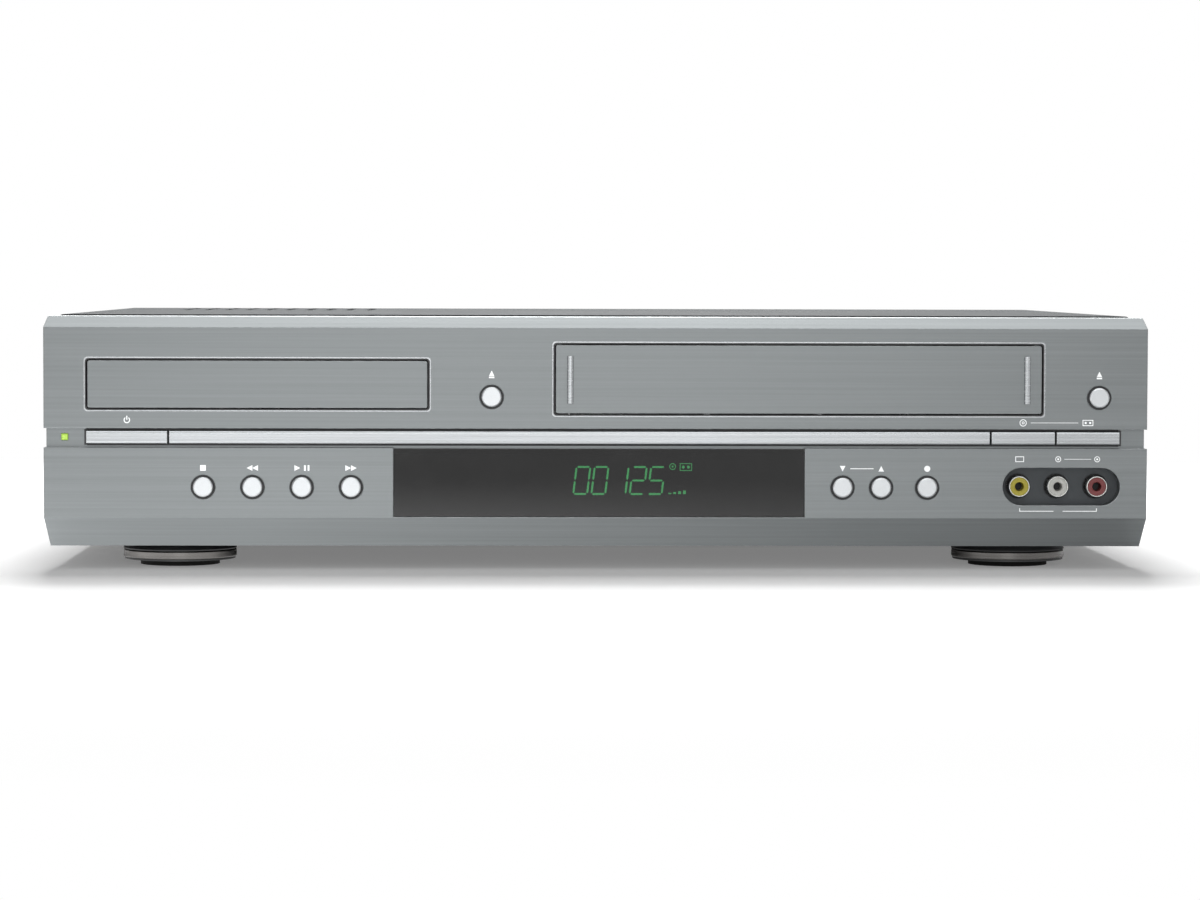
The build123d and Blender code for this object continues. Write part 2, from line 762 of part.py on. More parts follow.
# ------------------------------------------------------------------ top cover
with BuildPart() as top_cover:
    with BuildSketch(facing(fascia_depth)):
        cover_h = cover_top - cover_bottom
        with Locations((0, cover_bottom)):
            Rectangle(cover_w, cover_h, align=(Align.CENTER, Align.MIN))
        fillet(vertices().group_by(Axis.Y)[-1], cover_corner)
        with Locations((0, cover_bottom)):
            Rectangle(cover_w - 2 * sheet, cover_h - sheet, align=(Align.CENTER, Align.MIN),
                      mode=Mode.SUBTRACT)
    extrude(amount=-(body_depth - fascia_depth))
    # The rear lip folds down over the rear panel.
    block((-inside_half, inside_half), (body_depth - sheet, body_depth),
          (cover_top - lip_h, cover_top - sheet))
    for side in (-1, 1):
        for screw_d in side_screw_d:
            side_post(side * (cover_half - 2), side * (cover_half + 1), screw_d, side_screw_z,
                      screw_r + seat_play, Mode.SUBTRACT)
    for screw_x in rear_screw_x:
        front_post(screw_x, cover_top - lip_h / 2, body_depth - 2 * sheet, body_depth + 1,
                   screw_r + seat_play, Mode.SUBTRACT)
    # Cooling slots over the power supply, and along both sides.
    with BuildSketch(Plane.XY.offset(cover_top)):
        with Locations((sum(power_board_x) / 2, at(sum(power_board_d) / 2))):
            with GridLocations(vent_pitch, vent_l + vent_row_gap, vent_count, 2):
                Rectangle(vent_w, vent_l)
    extrude(amount=-sheet - 1, mode=Mode.SUBTRACT)
    with BuildSketch(across(-cover_half)):
        with Locations((at(sum(power_board_d) / 2), (side_screw_z + cover_top) / 2)):
            with GridLocations(vent_pitch, 0, vent_count, 1):
                Rectangle(vent_w, vent_l)
    extrude(amount=cover_w, mode=Mode.SUBTRACT)
save(top_cover, "top_cover")

# ------------------------------------------------------------------ rear panel
panel_half = pan_half - sheet - seat_play
panel_top = cover_top - sheet - panel_top_gap
rear_block_open = (grown(rear_block_x, seat_play), grown(rear_block_z, seat_play))
aerial_x = [sum(tuner_x) / 2 + side * aerial_pitch / 2 for side in (-1, 1)]
aerial_z = sum(tuner_z) / 2
with BuildPart() as rear_panel:
    block((-panel_half, panel_half), (panel_d, panel_d + sheet), (pan_floor, panel_top))
    for side in (-1, 1):
        block((side * (panel_half - sheet), side * panel_half), (panel_d - panel_flange_w, panel_d),
              (pan_floor, panel_top - panel_flange_drop))
    block(rear_block_open[0], (panel_d - 1, panel_d + 2), rear_block_open[1], Mode.SUBTRACT)
    aerial_hole = aerial_r + aerial_play
    block(grown(aerial_x, aerial_hole), (panel_d - 1, panel_d + 2),
          (aerial_z - aerial_hole, aerial_z + aerial_hole), Mode.SUBTRACT)
    block((inlet_x - inlet_w / 2, inlet_x + inlet_w / 2), (panel_d - 1, panel_d + 2),
          (inlet_z - inlet_h / 2, inlet_z + inlet_h / 2), Mode.SUBTRACT)
    for screw_x in rear_screw_x:
        front_post(screw_x, cover_top - lip_h / 2, panel_d - 1, panel_d + 2, screw_r + running, Mode.SUBTRACT)
    with BuildSketch(facing(panel_d - 1)):
        with Locations((sum(power_board_x) / 2, pan_floor + panel_vent_up)):
            with GridLocations(vent_pitch, 0, vent_count, 1):
                Rectangle(vent_w, vent_l / 2)
    extrude(amount=-sheet - 2, mode=Mode.SUBTRACT)
save(rear_panel, "rear_panel")

# ------------------------------------------------------------------ screws, feet and pads
with BuildPart() as cover_screws:
    # Hexagon heads, with plain shanks into the sheet below.
    for side in (-1, 1):
        for screw_d in side_screw_d:
            with BuildSketch(across(side * cover_half)) as side_head:
                with Locations((at(screw_d), side_screw_z)):
                    RegularPolygon(screw_head_r, screw_head_sides)
            extrude(side_head.sketch, amount=side * screw_head_h)
            side_post(side * (cover_half - screw_length), side * cover_half, screw_d, side_screw_z, screw_r)
    for screw_x in rear_screw_x:
        screw_z = cover_top - lip_h / 2
        with BuildSketch(facing(body_depth)) as rear_head:
            with Locations((screw_x, screw_z)):
                RegularPolygon(screw_head_r, screw_head_sides)
        extrude(rear_head.sketch, amount=-screw_head_h)
        front_post(screw_x, screw_z, body_depth - screw_length, body_depth, screw_r)
save(cover_screws, "cover_screws")

foot_places = [(side * foot_x, at(d)) for side in (-1, 1) for d in (foot_front_d, foot_rear_d)]
with BuildPart() as feet:
    with BuildSketch(Plane.XY.offset(pad_h)):
        with Locations(*foot_places):
            RegularPolygon(foot_r, sides_for(foot_r))
    extrude(amount=fascia_bottom - pad_h)
save(feet, "feet")

with BuildPart() as foot_pads:
    with BuildSketch(Plane.XY):
        with Locations(*foot_places):
            RegularPolygon(pad_r, sides_for(pad_r))
    extrude(amount=pad_h)
save(foot_pads, "foot_pads")

# ================================================================== disc tray and its door
tray_half = tray_w / 2
tray_sides = (tray_x - tray_half, tray_x + tray_half)
tray_back_d = tray_front_d + tray_length
rail_z = (tray_z[0] - rail_h, tray_z[0])
rack_line = tray_sides[0] + rail_w + tooth_root
rack_pitch = pi * gear_module
gear_x = rack_line + gear_module * gear_teeth / 2
rack_teeth = int(tray_travel / rack_pitch) + spare_teeth

with BuildPart() as tray_door:
    door_x = grown(tray_gap_x, -door_gap)
    door_z = grown(tray_gap_z, -door_gap)
    rounded_panel(door_x, door_z, 0, fascia_wall, door_corner - door_gap / 2)
    lug_z = (tray_z[0] - door_lug_below, tray_z[1] + door_lug_above)
    for lug_x in (tray_x - door_lug_x, tray_x + door_lug_x):
        block((lug_x - door_lug_half, lug_x + door_lug_half), (fascia_wall, tray_front_d), lug_z)
save(tray_door, "tray_door")

with BuildPart() as disc_tray:
    block(tray_sides, (tray_front_d, tray_back_d), tray_z)
    chamfer(disc_tray.faces().sort_by(Axis.Y)[-1].edges().filter_by(Axis.Z), rail_end)
    for side in (-1, 1):
        rail = (tray_x + side * (tray_half - rail_w), tray_x + side * tray_half)
        block(rail, (tray_front_d + rail_end, tray_back_d - rail_end), rail_z)
    # The rack: straight-sided teeth on the inner face of the left rail.
    with BuildSketch(Plane.XY.offset(rail_z[0])):
        for tooth in range(-1, rack_teeth):
            tooth_y = at(gear_d) + (tooth - 0.5) * rack_pitch
            root_half = tooth_share * rack_pitch / 2 + tooth_slope * tooth_root
            tip_half = tooth_share * rack_pitch / 2 - tooth_slope * tooth_tip
            with BuildLine():
                Polyline(
                    (tray_sides[0] + rail_w, tooth_y - root_half),
                    (rack_line + tooth_tip, tooth_y - tip_half),
                    (rack_line + tooth_tip, tooth_y + tip_half),
                    (tray_sides[0] + rail_w, tooth_y + root_half),
                    close=True,
                )
            make_face()
    extrude(amount=rail_h)
    # Two disc wells, and the slot that the turntable and the lens come up through.
    peg(tray_x, disc_d, tray_z[1] - disc_well_depth, tray_z[1] + 1, disc_well_r, Mode.SUBTRACT)
    peg(tray_x, disc_d, tray_z[1] - small_well_depth, tray_z[1] + 1, small_well_r, Mode.SUBTRACT)
    with BuildSketch(Plane.XY.offset(tray_z[1] + 1)):
        slot_back = hinge_d + lens_v + pickup_travel
        with Locations((tray_x, at((disc_d + slot_back) / 2))):
            Rectangle(tray_slot_w, slot_back - disc_d + tray_slot_w)
            chamfer(vertices(), tray_slot_corner)
    extrude(amount=-(tray_z[1] - tray_z[0] + 2), mode=Mode.SUBTRACT)
save(disc_tray, "disc_tray")

gear_z = (tray_z[0] - slip - gear_thick, tray_z[0] - slip)
gear_r = gear_module * gear_teeth / 2
with BuildPart() as tray_gear:
    with BuildSketch(Plane((gear_x, at(gear_d), gear_z[0]), x_dir=(1, 0, 0), z_dir=(0, 0, 1))):
        with BuildLine():
            corners = tooth_corners(gear_r, gear_r + tooth_tip, gear_r - tooth_root, gear_teeth)
            Polyline(*corners, close=True)
        make_face()
        Circle(motor_shaft_r + running, mode=Mode.SUBTRACT)
    extrude(amount=gear_thick)
save(tray_gear, "tray_gear")

# ------------------------------------------------------------------ loader frame
loader_in = tray_half + 0.5
loader_out = loader_in + loader_wall
floor_z = (gear_z[0] - slip - 2.0, gear_z[0] - slip)
ledge_top = rail_z[0] - slip
lip_z = (tray_z[1] + slip, tray_z[1] + slip + 2.0)
hinge_lug_u = (traverse_w / 2 + 1.0, traverse_w / 2 + 1.0 + hinge_lug_w)
motor_top = floor_z[0]
loader_inside = (tray_x - loader_in, tray_x + loader_in)
with BuildPart() as loader_frame:
    for side in (-1, 1):
        wall_x = (tray_x + side * loader_in, tray_x + side * loader_out)
        skirt_z = floor_z[0] - loader_skirt
        block(wall_x, (loader_front_d, loader_back_d), (skirt_z, loader_top))
        ledge_x = (tray_x + side * (loader_in - ledge_w), tray_x + side * loader_in)
        block(ledge_x, (loader_front_d, loader_back_d), (ledge_top - ledge_thick, ledge_top))
        lip_x = (tray_x + side * (loader_in - lip_w), tray_x + side * loader_in)
        block(lip_x, (loader_front_d + lip_start, loader_back_d), lip_z)
        for leg_d in loader_legs_d:
            block(wall_x, leg_d, (pan_floor, skirt_z))
            foot_span = (tray_x + side * loader_out, tray_x + side * (loader_out + loader_foot))
            block(foot_span, leg_d, (pan_floor, pan_floor + loader_foot_thick))
    block(loader_inside, (loader_front_d, hinge_d + traverse_front - traverse_gap), floor_z)
    block(loader_inside, (hinge_d + hinge_lug_half, loader_back_d),
          (hinge_z - loader_cross_low, hinge_z + loader_cross_high))
    post(gear_x, gear_d, floor_z[0] - 1, floor_z[1] + 1, motor_shaft_r + 1.0, Mode.SUBTRACT)
    for side in (-1, 1):
        lug_x = (tray_x + side * hinge_lug_u[0], tray_x + side * hinge_lug_u[1])
        block(lug_x, (hinge_d - hinge_lug_half, hinge_d + hinge_lug_half),
              (hinge_z - loader_cross_low, hinge_z + hinge_lug_half))
        side_peg(lug_x[0] - side, lug_x[1] + side, hinge_d, hinge_z, hinge_pin_r + running, Mode.SUBTRACT)
save(loader_frame, "loader_frame")

bridge_z = (loader_top, loader_top + bridge_thick)
with BuildPart() as clamp_bridge:
    bridge_d = (disc_d - bridge_w / 2, disc_d + bridge_w / 2)
    block((tray_x - loader_out, tray_x + loader_out), bridge_d, bridge_z)
    chamfer(clamp_bridge.edges().filter_by(Axis.Z), bridge_corner)
    post(tray_x, disc_d, bridge_z[0] - 1, bridge_z[1] + 1, clamp_r + clamp_play, Mode.SUBTRACT)
save(clamp_bridge, "clamp_bridge")

with BuildPart() as disc_clamp:
    post(tray_x, disc_d, clamp_bottom, bridge_z[1] + slip, clamp_r)
    post(tray_x, disc_d, bridge_z[1] + slip, bridge_z[1] + slip + clamp_flange_thick, clamp_flange_r)
    post(tray_x, disc_d, clamp_bottom - 1, clamp_bottom + hub_h + 1, hub_r + 0.5, Mode.SUBTRACT)
save(disc_clamp, "disc_clamp")

# ------------------------------------------------------------------ traverse, on its own sloping plane
slope = radians(drop_angle)
level = Plane((tray_x, at(hinge_d), hinge_z), x_dir=(1, 0, 0), z_dir=(0, -sin(slope), cos(slope)))


def raised(height):
    """The traverse plane, moved up by this height."""
    return level.offset(height)


with BuildPart() as traverse_frame:
    with BuildSketch(raised(-traverse_thick)):
        with Locations((0, traverse_front / 2)):
            Rectangle(traverse_w, -traverse_front)
        chamfer(vertices().group_by(Axis.Y)[0], traverse_corner)
        with Locations((0, spindle_v)):
            boss_hole = spindle_boss_r + 0.5
            RegularPolygon(boss_hole, sides_for(boss_hole), major_radius=False, mode=Mode.SUBTRACT)
        window_v = (lens_v - pickup_l / 2 - 2, lens_v + pickup_travel + pickup_l / 2 + 2)
        with Locations((0, sum(window_v) / 2)):
            Rectangle(pickup_w + 2, window_v[1] - window_v[0], mode=Mode.SUBTRACT)
    extrude(amount=traverse_thick)
    with Locations(level.location):
        Box(traverse_w, hinge_bar, hinge_bar)
        Cylinder(hinge_pin_r, 2 * hinge_lug_u[1] + 2, rotation=(0, 90, 0))
    # Two guide rods for the pickup, and two lugs for its lead screw.
    for side in (-1, 1):
        with Locations(level.location * Pos(side * rod_u, sum(window_v) / 2, rod_w)):
            Cylinder(rod_r, window_v[1] - window_v[0], rotation=(90, 0, 0))
    for lug_v in lead_lugs_v:
        with Locations(level.location * Pos(screw_u, lug_v, screw_w / 2 - traverse_thick / 2 - 1)):
            Box(2 * lead_lug_l, lead_lug_l, -screw_w - traverse_thick + 4)
        with Locations(level.location * Pos(screw_u, lug_v, screw_w)):
            Cylinder(lead_r + running, 2 * lead_lug_l + 2, rotation=(90, 0, 0), mode=Mode.SUBTRACT)
save(traverse_frame, "traverse_frame")

with BuildPart() as lead_screw:
    screw_length_v = lead_lugs_v[1] - lead_lugs_v[0] + 2 * lead_lug_l
    with Locations(level.location * Pos(screw_u, sum(lead_lugs_v) / 2, screw_w)):
        Cylinder(lead_r, screw_length_v, rotation=(90, 0, 0))
    lead_end = Plane(level.location * Pos(screw_u, lead_lugs_v[1] + lead_lug_l, screw_w) * Rot(-90, 0, 0))
    with BuildSketch(lead_end):
        RegularPolygon(lead_gear_r, sides_for(lead_gear_r))
    extrude(amount=lead_gear_l)
save(lead_screw, "lead_screw")

with BuildPart() as spindle_motor:
    with BuildSketch(raised(-traverse_thick - spindle_motor_h)):
        with Locations((0, spindle_v)):
            RegularPolygon(spindle_motor_r, sides_for(spindle_motor_r))
    extrude(amount=spindle_motor_h)
    with BuildSketch(raised(-traverse_thick)):
        with Locations((0, spindle_v)):
            RegularPolygon(spindle_boss_r, sides_for(spindle_boss_r))
    extrude(amount=traverse_thick + spindle_boss_h)
    with BuildSketch(raised(spindle_boss_h)):
        with Locations((0, spindle_v)):
            Circle(motor_shaft_r + running)
    extrude(amount=-traverse_thick - spindle_boss_h, mode=Mode.SUBTRACT)
save(spindle_motor, "spindle_motor")

with BuildPart() as turntable:
    # A shaft, a stem, the table and its centring hub, one on another.
    with BuildSketch(raised(-traverse_thick)):
        with Locations((0, spindle_v)):
            Circle(motor_shaft_r)
    extrude(amount=traverse_thick + spindle_boss_h + slip)
    turntable_steps = (
        (spindle_stem_r, spindle_boss_h + slip, turntable_top - turntable_thick),
        (turntable_r, turntable_top - turntable_thick, turntable_top),
        (hub_r, turntable_top, turntable_top + hub_h),
    )
    for step_r, step_low, step_high in turntable_steps:
        with BuildSketch(raised(step_low)):
            with Locations((0, spindle_v)):
                RegularPolygon(step_r, sides_for(step_r))
        extrude(amount=step_high - step_low)
    chamfer(turntable.faces().sort_by(Axis.Z)[-1].edges(), hub_h / 2)
save(turntable, "turntable")

with BuildPart() as pickup:
    with BuildSketch(raised(pickup_w_low)):
        with Locations((0, lens_v)):
            Rectangle(pickup_w, pickup_l)
            with Locations((0, -pickup_l / 2)):
                RegularPolygon(pickup_notch_r, sides_for(pickup_notch_r), major_radius=False,
                               mode=Mode.SUBTRACT)
    extrude(amount=pickup_w_high - pickup_w_low)
    with BuildSketch(raised(pickup_w_high)):
        with Locations((0, lens_v + 1)):
            RegularPolygon(lens_r + lens_wall, sides_for(lens_r))
    extrude(amount=lens_top - pickup_w_high - 1)
    with BuildSketch(raised(lens_top - 1)):
        with Locations((0, lens_v + 1)):
            RegularPolygon(lens_r, sides_for(lens_r))
    extrude(amount=1)
    # A bore on one rod, and a fork open to the side on the other.
    with Locations(level.location * Pos(rod_u, lens_v, rod_w)):
        Cylinder(rod_r + running, pickup_l + 2, rotation=(90, 0, 0), mode=Mode.SUBTRACT)
    fork_w = pickup_w / 2 - rod_u + rod_r + 1
    with Locations(level.location * Pos(-rod_u + rod_r + running - fork_w / 2, lens_v, rod_w)):
        Box(fork_w, pickup_l + 2, 2 * (rod_r + running), mode=Mode.SUBTRACT)
save(pickup, "pickup")

# ================================================================== cassette flap
with BuildPart() as cassette_flap:
    rounded_panel(flap_x, flap_z, 0, flap_thick, door_corner - door_gap / 2)
    for side, edge_x in ((1, flap_x[0]), (-1, flap_x[1])):
        with BuildSketch(across(min(edge_x, edge_x + side * flap_arm))):
            with BuildLine():
                Polyline(
                    (at(flap_thick), flap_z[1] - flap_arm_root),
                    (at(flap_thick), flap_z[1]),
                    (at(fascia_wall + slip), flap_z[1]),
                    (at(fascia_wall + slip), flap_pivot_z),
                    (at(flap_pivot_d), flap_pivot_z),
                    (at(flap_pivot_d + flap_hub_r), flap_pivot_z),
                    (at(flap_pivot_d), flap_z[1] - flap_arm_root),
                    close=True,
                )
            make_face()
            with Locations((at(flap_pivot_d), flap_pivot_z)):
                RegularPolygon(flap_hub_r, sides_for(flap_hub_r))
        extrude(amount=flap_arm)
        pin_end = edge_x - side * (door_gap + ear_thick + 1)
        side_peg(pin_end, edge_x, flap_pivot_d, flap_pivot_z, flap_pivot_r)
save(cassette_flap, "cassette_flap")

with BuildPart() as flap_trims:
    for trim_x in (flap_x[0] + flap_trim_inset, flap_x[1] - flap_trim_inset):
        block((trim_x - flap_trim_w / 2, trim_x + flap_trim_w / 2), (-flap_trim_proud, 0), flap_trim_z)
    fillet(flap_trims.faces().group_by(Axis.Y)[0].edges().filter_by(Axis.Z), flap_trim_round)
save(flap_trims, "flap_trims")

# ================================================================== cassette deck chassis
deck_side_out = deck_side_in + deck_sheet
guide_slot_w = 2 * (guide_pin_r + slip)


def deck_point(u, depth, height):
    """A point given from the middle of the deck, as X, Y and Z."""
    return (deck_x + u, at(depth), height)


guide_angle = degrees(atan2(guide_d[1] - guide_d[0], guide_u[1] - guide_u[0]))
guide_travel = hypot(guide_u[1] - guide_u[0], guide_d[1] - guide_d[0])
with BuildPart() as deck_chassis:
    with BuildSketch(Plane.XY.offset(deck_z)):
        with Locations((deck_x, at(sum(deck_d) / 2))):
            Rectangle(2 * deck_side_in, deck_d[1] - deck_d[0])
        # The curved-looking tracks of the tape guides are straight slots here.
        for side in (-1, 1):
            slot_middle = deck_point(side * sum(guide_u) / 2, sum(guide_d) / 2, 0)
            with Locations(slot_middle[:2]):
                track_turn = 90 - side * (90 - guide_angle)
                Rectangle(guide_travel + track_w, track_w, rotation=track_turn, mode=Mode.SUBTRACT)
        with Locations(deck_point(capstan_u, capstan_d, 0)[:2]):
            RegularPolygon(capstan_r + 1.0, sides_for(capstan_r), mode=Mode.SUBTRACT)
    extrude(amount=deck_sheet)
    for side in (-1, 1):
        outer = deck_x + side * deck_side_out
        inner = deck_x + side * deck_side_in
        with BuildSketch(across(min(outer, inner))):
            with BuildLine():
                Polyline(
                    (at(deck_d[0]), pan_floor),
                    (at(deck_d[0] + deck_leg), pan_floor),
                    (at(deck_d[0] + deck_leg), deck_z - deck_rib),
                    (at(deck_d[1] - deck_leg), deck_z - deck_rib),
                    (at(deck_d[1] - deck_leg), pan_floor),
                    (at(deck_d[1]), pan_floor),
                    (at(deck_d[1]), deck_top + deck_flange),
                    (at(deck_side_d[1]), deck_top + deck_flange),
                    (at(deck_side_d[1]), deck_side_top),
                    (at(deck_side_d[0]), deck_side_top),
                    (at(deck_side_d[0]), deck_z),
                    (at(deck_d[0]), deck_z),
                    close=True,
                )
            make_face()
            slot_d = (slider_pins_d[0], slider_pins_d[1] + carriage_travel)
            with Locations((at(sum(slot_d) / 2), slider_pin_z)):
                Rectangle(slot_d[1] - slot_d[0] + guide_slot_w, guide_slot_w, mode=Mode.SUBTRACT)
        extrude(amount=deck_sheet)
    # Posts for the pinch arm and the reels, and the capstan's bearing.
    pinch_pivot = deck_point(pinch_pivot_u, pinch_pivot_d, 0)
    peg(pinch_pivot[0], pinch_pivot_d, deck_top, pinch_arm_z[1] + 2, pinch_post_r)
    post(pinch_pivot[0], pinch_pivot_d, deck_top, pinch_arm_z[0] - slip, pinch_post_r + 2)
    post(deck_x + capstan_u, capstan_d, deck_top, deck_top + bearing_h, bearing_r)
    peg(deck_x + capstan_u, capstan_d, deck_top - 1, deck_top + bearing_h + 1, capstan_r + running,
        Mode.SUBTRACT)
    for side in (-1, 1):
        peg(deck_x + side * reel_pitch / 2, reel_d, deck_top, reel_post_top, reel_post_r)
save(deck_chassis, "deck_chassis")

# ------------------------------------------------------------------ carriage: slider and cassette basket
slider_out = slider_in + deck_sheet
with BuildPart() as carriage_slider:
    block((deck_x - slider_out, deck_x + slider_out), slider_d, (slider_top - deck_sheet, slider_top))
    for side in (-1, 1):
        inner = deck_x + side * slider_in
        outer = deck_x + side * slider_out
        block((inner, outer), slider_d, (slider_bottom, slider_top))
        for pin_d in basket_pins_d:
            with BuildSketch(across(min(inner, outer))):
                with Locations((at(pin_d), basket_pin_z - carriage_drop / 2)):
                    Rectangle(guide_slot_w, carriage_drop + guide_slot_w)
            extrude(amount=deck_sheet, mode=Mode.SUBTRACT)
        for pin_d in slider_pins_d:
            pin_end = deck_x + side * (deck_side_out + slider_pin_past)
            side_post(outer, pin_end, pin_d, slider_pin_z, guide_pin_r)
    # The top is open in the middle, between two cross rails.
    slider_window = grown(slider_d, -slider_rail)
    block((deck_x - slider_window_half, deck_x + slider_window_half), slider_window,
          (slider_top - 2, slider_top + 1), Mode.SUBTRACT)
save(carriage_slider, "carriage_slider")

basket_out = basket_in + basket_sheet
basket_floor = (cassette_floor - basket_sheet, cassette_floor)
with BuildPart() as cassette_basket:
    block((deck_x - basket_out, deck_x + basket_out), basket_d, (basket_top - basket_sheet, basket_top))
    for side in (-1, 1):
        inner = deck_x + side * basket_in
        outer = deck_x + side * basket_out
        block((inner, outer), basket_d, (basket_floor[0], basket_top))
        block((deck_x + side * (basket_out - basket_strip), outer), basket_d, basket_floor)
        block((deck_x + side * (basket_in - basket_stop_w), inner), (basket_d[1] - deck_sheet, basket_d[1]),
              (cassette_floor, cassette_floor + basket_stop_h))
        for pin_d in basket_pins_d:
            side_post(outer, deck_x + side * (slider_out + slip), pin_d, basket_pin_z, guide_pin_r)
    for side in (-1, 1):
        middle_x = deck_x + side * basket_window_u
        block((middle_x - basket_window_half, middle_x + basket_window_half), grown(basket_d, -basket_rail),
              (basket_top - 2, basket_top + 1), Mode.SUBTRACT)
save(cassette_basket, "cassette_basket")

# ------------------------------------------------------------------ reels
for name, side in (("supply_reel", -1), ("takeup_reel", 1)):
    reel_x = deck_x + side * reel_pitch / 2
    with BuildPart() as reel:
        post(reel_x, reel_d, reel_flange_z[0], reel_flange_z[1], reel_flange_r)
        post(reel_x, reel_d, reel_flange_z[1], reel_top, reel_spindle_r)
        with Locations((reel_x, at(reel_d), 0)):
            with PolarLocations(reel_spindle_r, reel_ribs):
                with Locations((0, 0, (reel_flange_z[1] + reel_rib_end + reel_top) / 2)):
                    Box(reel_rib_l, reel_rib_w, reel_top - reel_flange_z[1] - 3 * reel_rib_end)
        peg(reel_x, reel_d, reel_flange_z[0] - 1, reel_post_top + slip, reel_post_r + running, Mode.SUBTRACT)
    save(reel, name)

# ------------------------------------------------------------------ head drum, leaning
lean = radians(drum_tilt)
drum_foot = (deck_x, at(drum_d), deck_top + drum_base_h)
drum_axis = Plane(drum_foot, x_dir=(1, 0, 0), z_dir=(0, sin(lean), cos(lean)))
with BuildPart() as lower_drum:
    # The foot of the casting leans with the drum and is cut level with the deck.
    with BuildSketch(drum_axis.offset(-2 * drum_base_h)):
        RegularPolygon(drum_foot_r, sides_for(drum_foot_r))
    extrude(amount=3 * drum_base_h)
    split(bisect_by=Plane.XY.offset(deck_top), keep=Keep.TOP)
    with BuildSketch(drum_axis.offset(drum_base_h / 2)):
        Circle(drum_r)
    extrude(amount=lower_drum_h)
    with BuildSketch(drum_axis.offset(drum_base_h / 2 + lower_drum_h)):
        Circle(motor_shaft_r + 1.0 + running)
    extrude(amount=-lower_drum_h, mode=Mode.SUBTRACT)
save(lower_drum, "lower_drum")

upper_drum_z = drum_base_h / 2 + lower_drum_h + slip
with BuildPart() as head_drum:
    with BuildSketch(drum_axis.offset(upper_drum_z)):
        Circle(drum_r)
        # Two notches at the rim for the heads.
        with PolarLocations(drum_r, 2):
            Rectangle(*head_notch, mode=Mode.SUBTRACT)
    extrude(amount=upper_drum_h)
    with BuildSketch(drum_axis.offset(upper_drum_z + upper_drum_h)):
        RegularPolygon(drum_r - drum_rim_w, sides_for(drum_r))
    extrude(amount=-drum_recess, mode=Mode.SUBTRACT)
    with BuildSketch(drum_axis.offset(upper_drum_z - lower_drum_h + 2)):
        Circle(motor_shaft_r + 1.0)
    extrude(amount=lower_drum_h + upper_drum_h)
save(head_drum, "head_drum")

# ------------------------------------------------------------------ capstan, pinch arm and roller
with BuildPart() as capstan:
    post(deck_x + capstan_u, capstan_d, flywheel_z[0], flywheel_z[1], flywheel_r)
    peg(deck_x + capstan_u, capstan_d, flywheel_z[1], capstan_top, capstan_r)
save(capstan, "capstan")

arm_angle = degrees(atan2(pinch_roller_d - pinch_pivot_d, pinch_roller_u - pinch_pivot_u))
arm_length = hypot(pinch_roller_d - pinch_pivot_d, pinch_roller_u - pinch_pivot_u)
with BuildPart() as pinch_arm:
    arm_plane = Plane(deck_point(pinch_pivot_u, pinch_pivot_d, pinch_arm_z[0]))
    with BuildSketch(arm_plane.rotated((0, 0, arm_angle))):
        with Locations((arm_length / 2, 0)):
            Rectangle(arm_length + 2 * pinch_arm_r, 2 * pinch_arm_r)
            chamfer(vertices(), pinch_arm_r / 2)
        Circle(pinch_post_r + running, mode=Mode.SUBTRACT)
    extrude(amount=pinch_arm_z[1] - pinch_arm_z[0])
    roller_x = deck_x + pinch_roller_u
    peg(roller_x, pinch_roller_d, pinch_arm_z[1], pinch_roller_z[1] + 1, capstan_r)
save(pinch_arm, "pinch_arm")

with BuildPart() as pinch_roller:
    post(roller_x, pinch_roller_d, pinch_roller_z[0], pinch_roller_z[1], pinch_roller_r)
    peg(roller_x, pinch_roller_d, pinch_roller_z[0] - 1, pinch_roller_z[1] + 1, capstan_r + running,
        Mode.SUBTRACT)
save(pinch_roller, "pinch_roller")

# ------------------------------------------------------------------ tape guides
for name, side in (("left_guide", -1), ("right_guide", 1)):
    guide_x = deck_x + side * guide_u[0]
    with BuildPart() as tape_guide:
        guide_foot = (deck_top + slip, deck_top + slip + guide_foot_h)
        guide_cap_low = guide_top - guide_cap_h
        post(guide_x, guide_d[0], deck_z - 1, guide_foot[0], track_w / 2 - slip)
        post(guide_x, guide_d[0], guide_foot[0], guide_foot[1], guide_r)
        post(guide_x, guide_d[0], guide_foot[1], guide_cap_low, guide_post_r)
        post(guide_x, guide_d[0], guide_cap_low, guide_top, guide_post_r + guide_cap_lip)
    save(tape_guide, name)

# ------------------------------------------------------------------ loading motors
with BuildPart() as loading_motors:
    # One stands under the tray gear, the other lies at the back of the deck.
    post(gear_x, gear_d, motor_top - motor_l, motor_top, motor_r)
    peg(gear_x, gear_d, motor_top, gear_z[1] - 0.5, motor_shaft_r)
    motor_x = deck_x + deck_motor_u
    motor_z = deck_top + motor_r - motor_flat
    motor_face_d = deck_motor_d - motor_l / 2
    with BuildSketch(facing(motor_face_d)):
        with Locations((motor_x, motor_z)):
            RegularPolygon(motor_r, sides_for(motor_r))
            Rectangle(2 * motor_r, 2 * (motor_r - motor_flat), mode=Mode.INTERSECT)
    extrude(amount=-motor_l)
    front_post(motor_x, motor_z, motor_face_d - motor_worm_l, motor_face_d, motor_worm_r)
save(loading_motors, "loading_motors")

# ================================================================== boards
with BuildPart() as main_board:
    block(main_board_x, main_board_d, (board_z, board_z + board_thick))
    # Packages and a screened tuner stage stand on it.
    board_top = board_z + board_thick
    for chip_u, chip_d, chip_w in chips:
        with Locations((main_board_x[0] + chip_u, at(chip_d), board_top + chip_h / 2)):
            Box(chip_w, chip_w, chip_h)
save(main_board, "main_board")

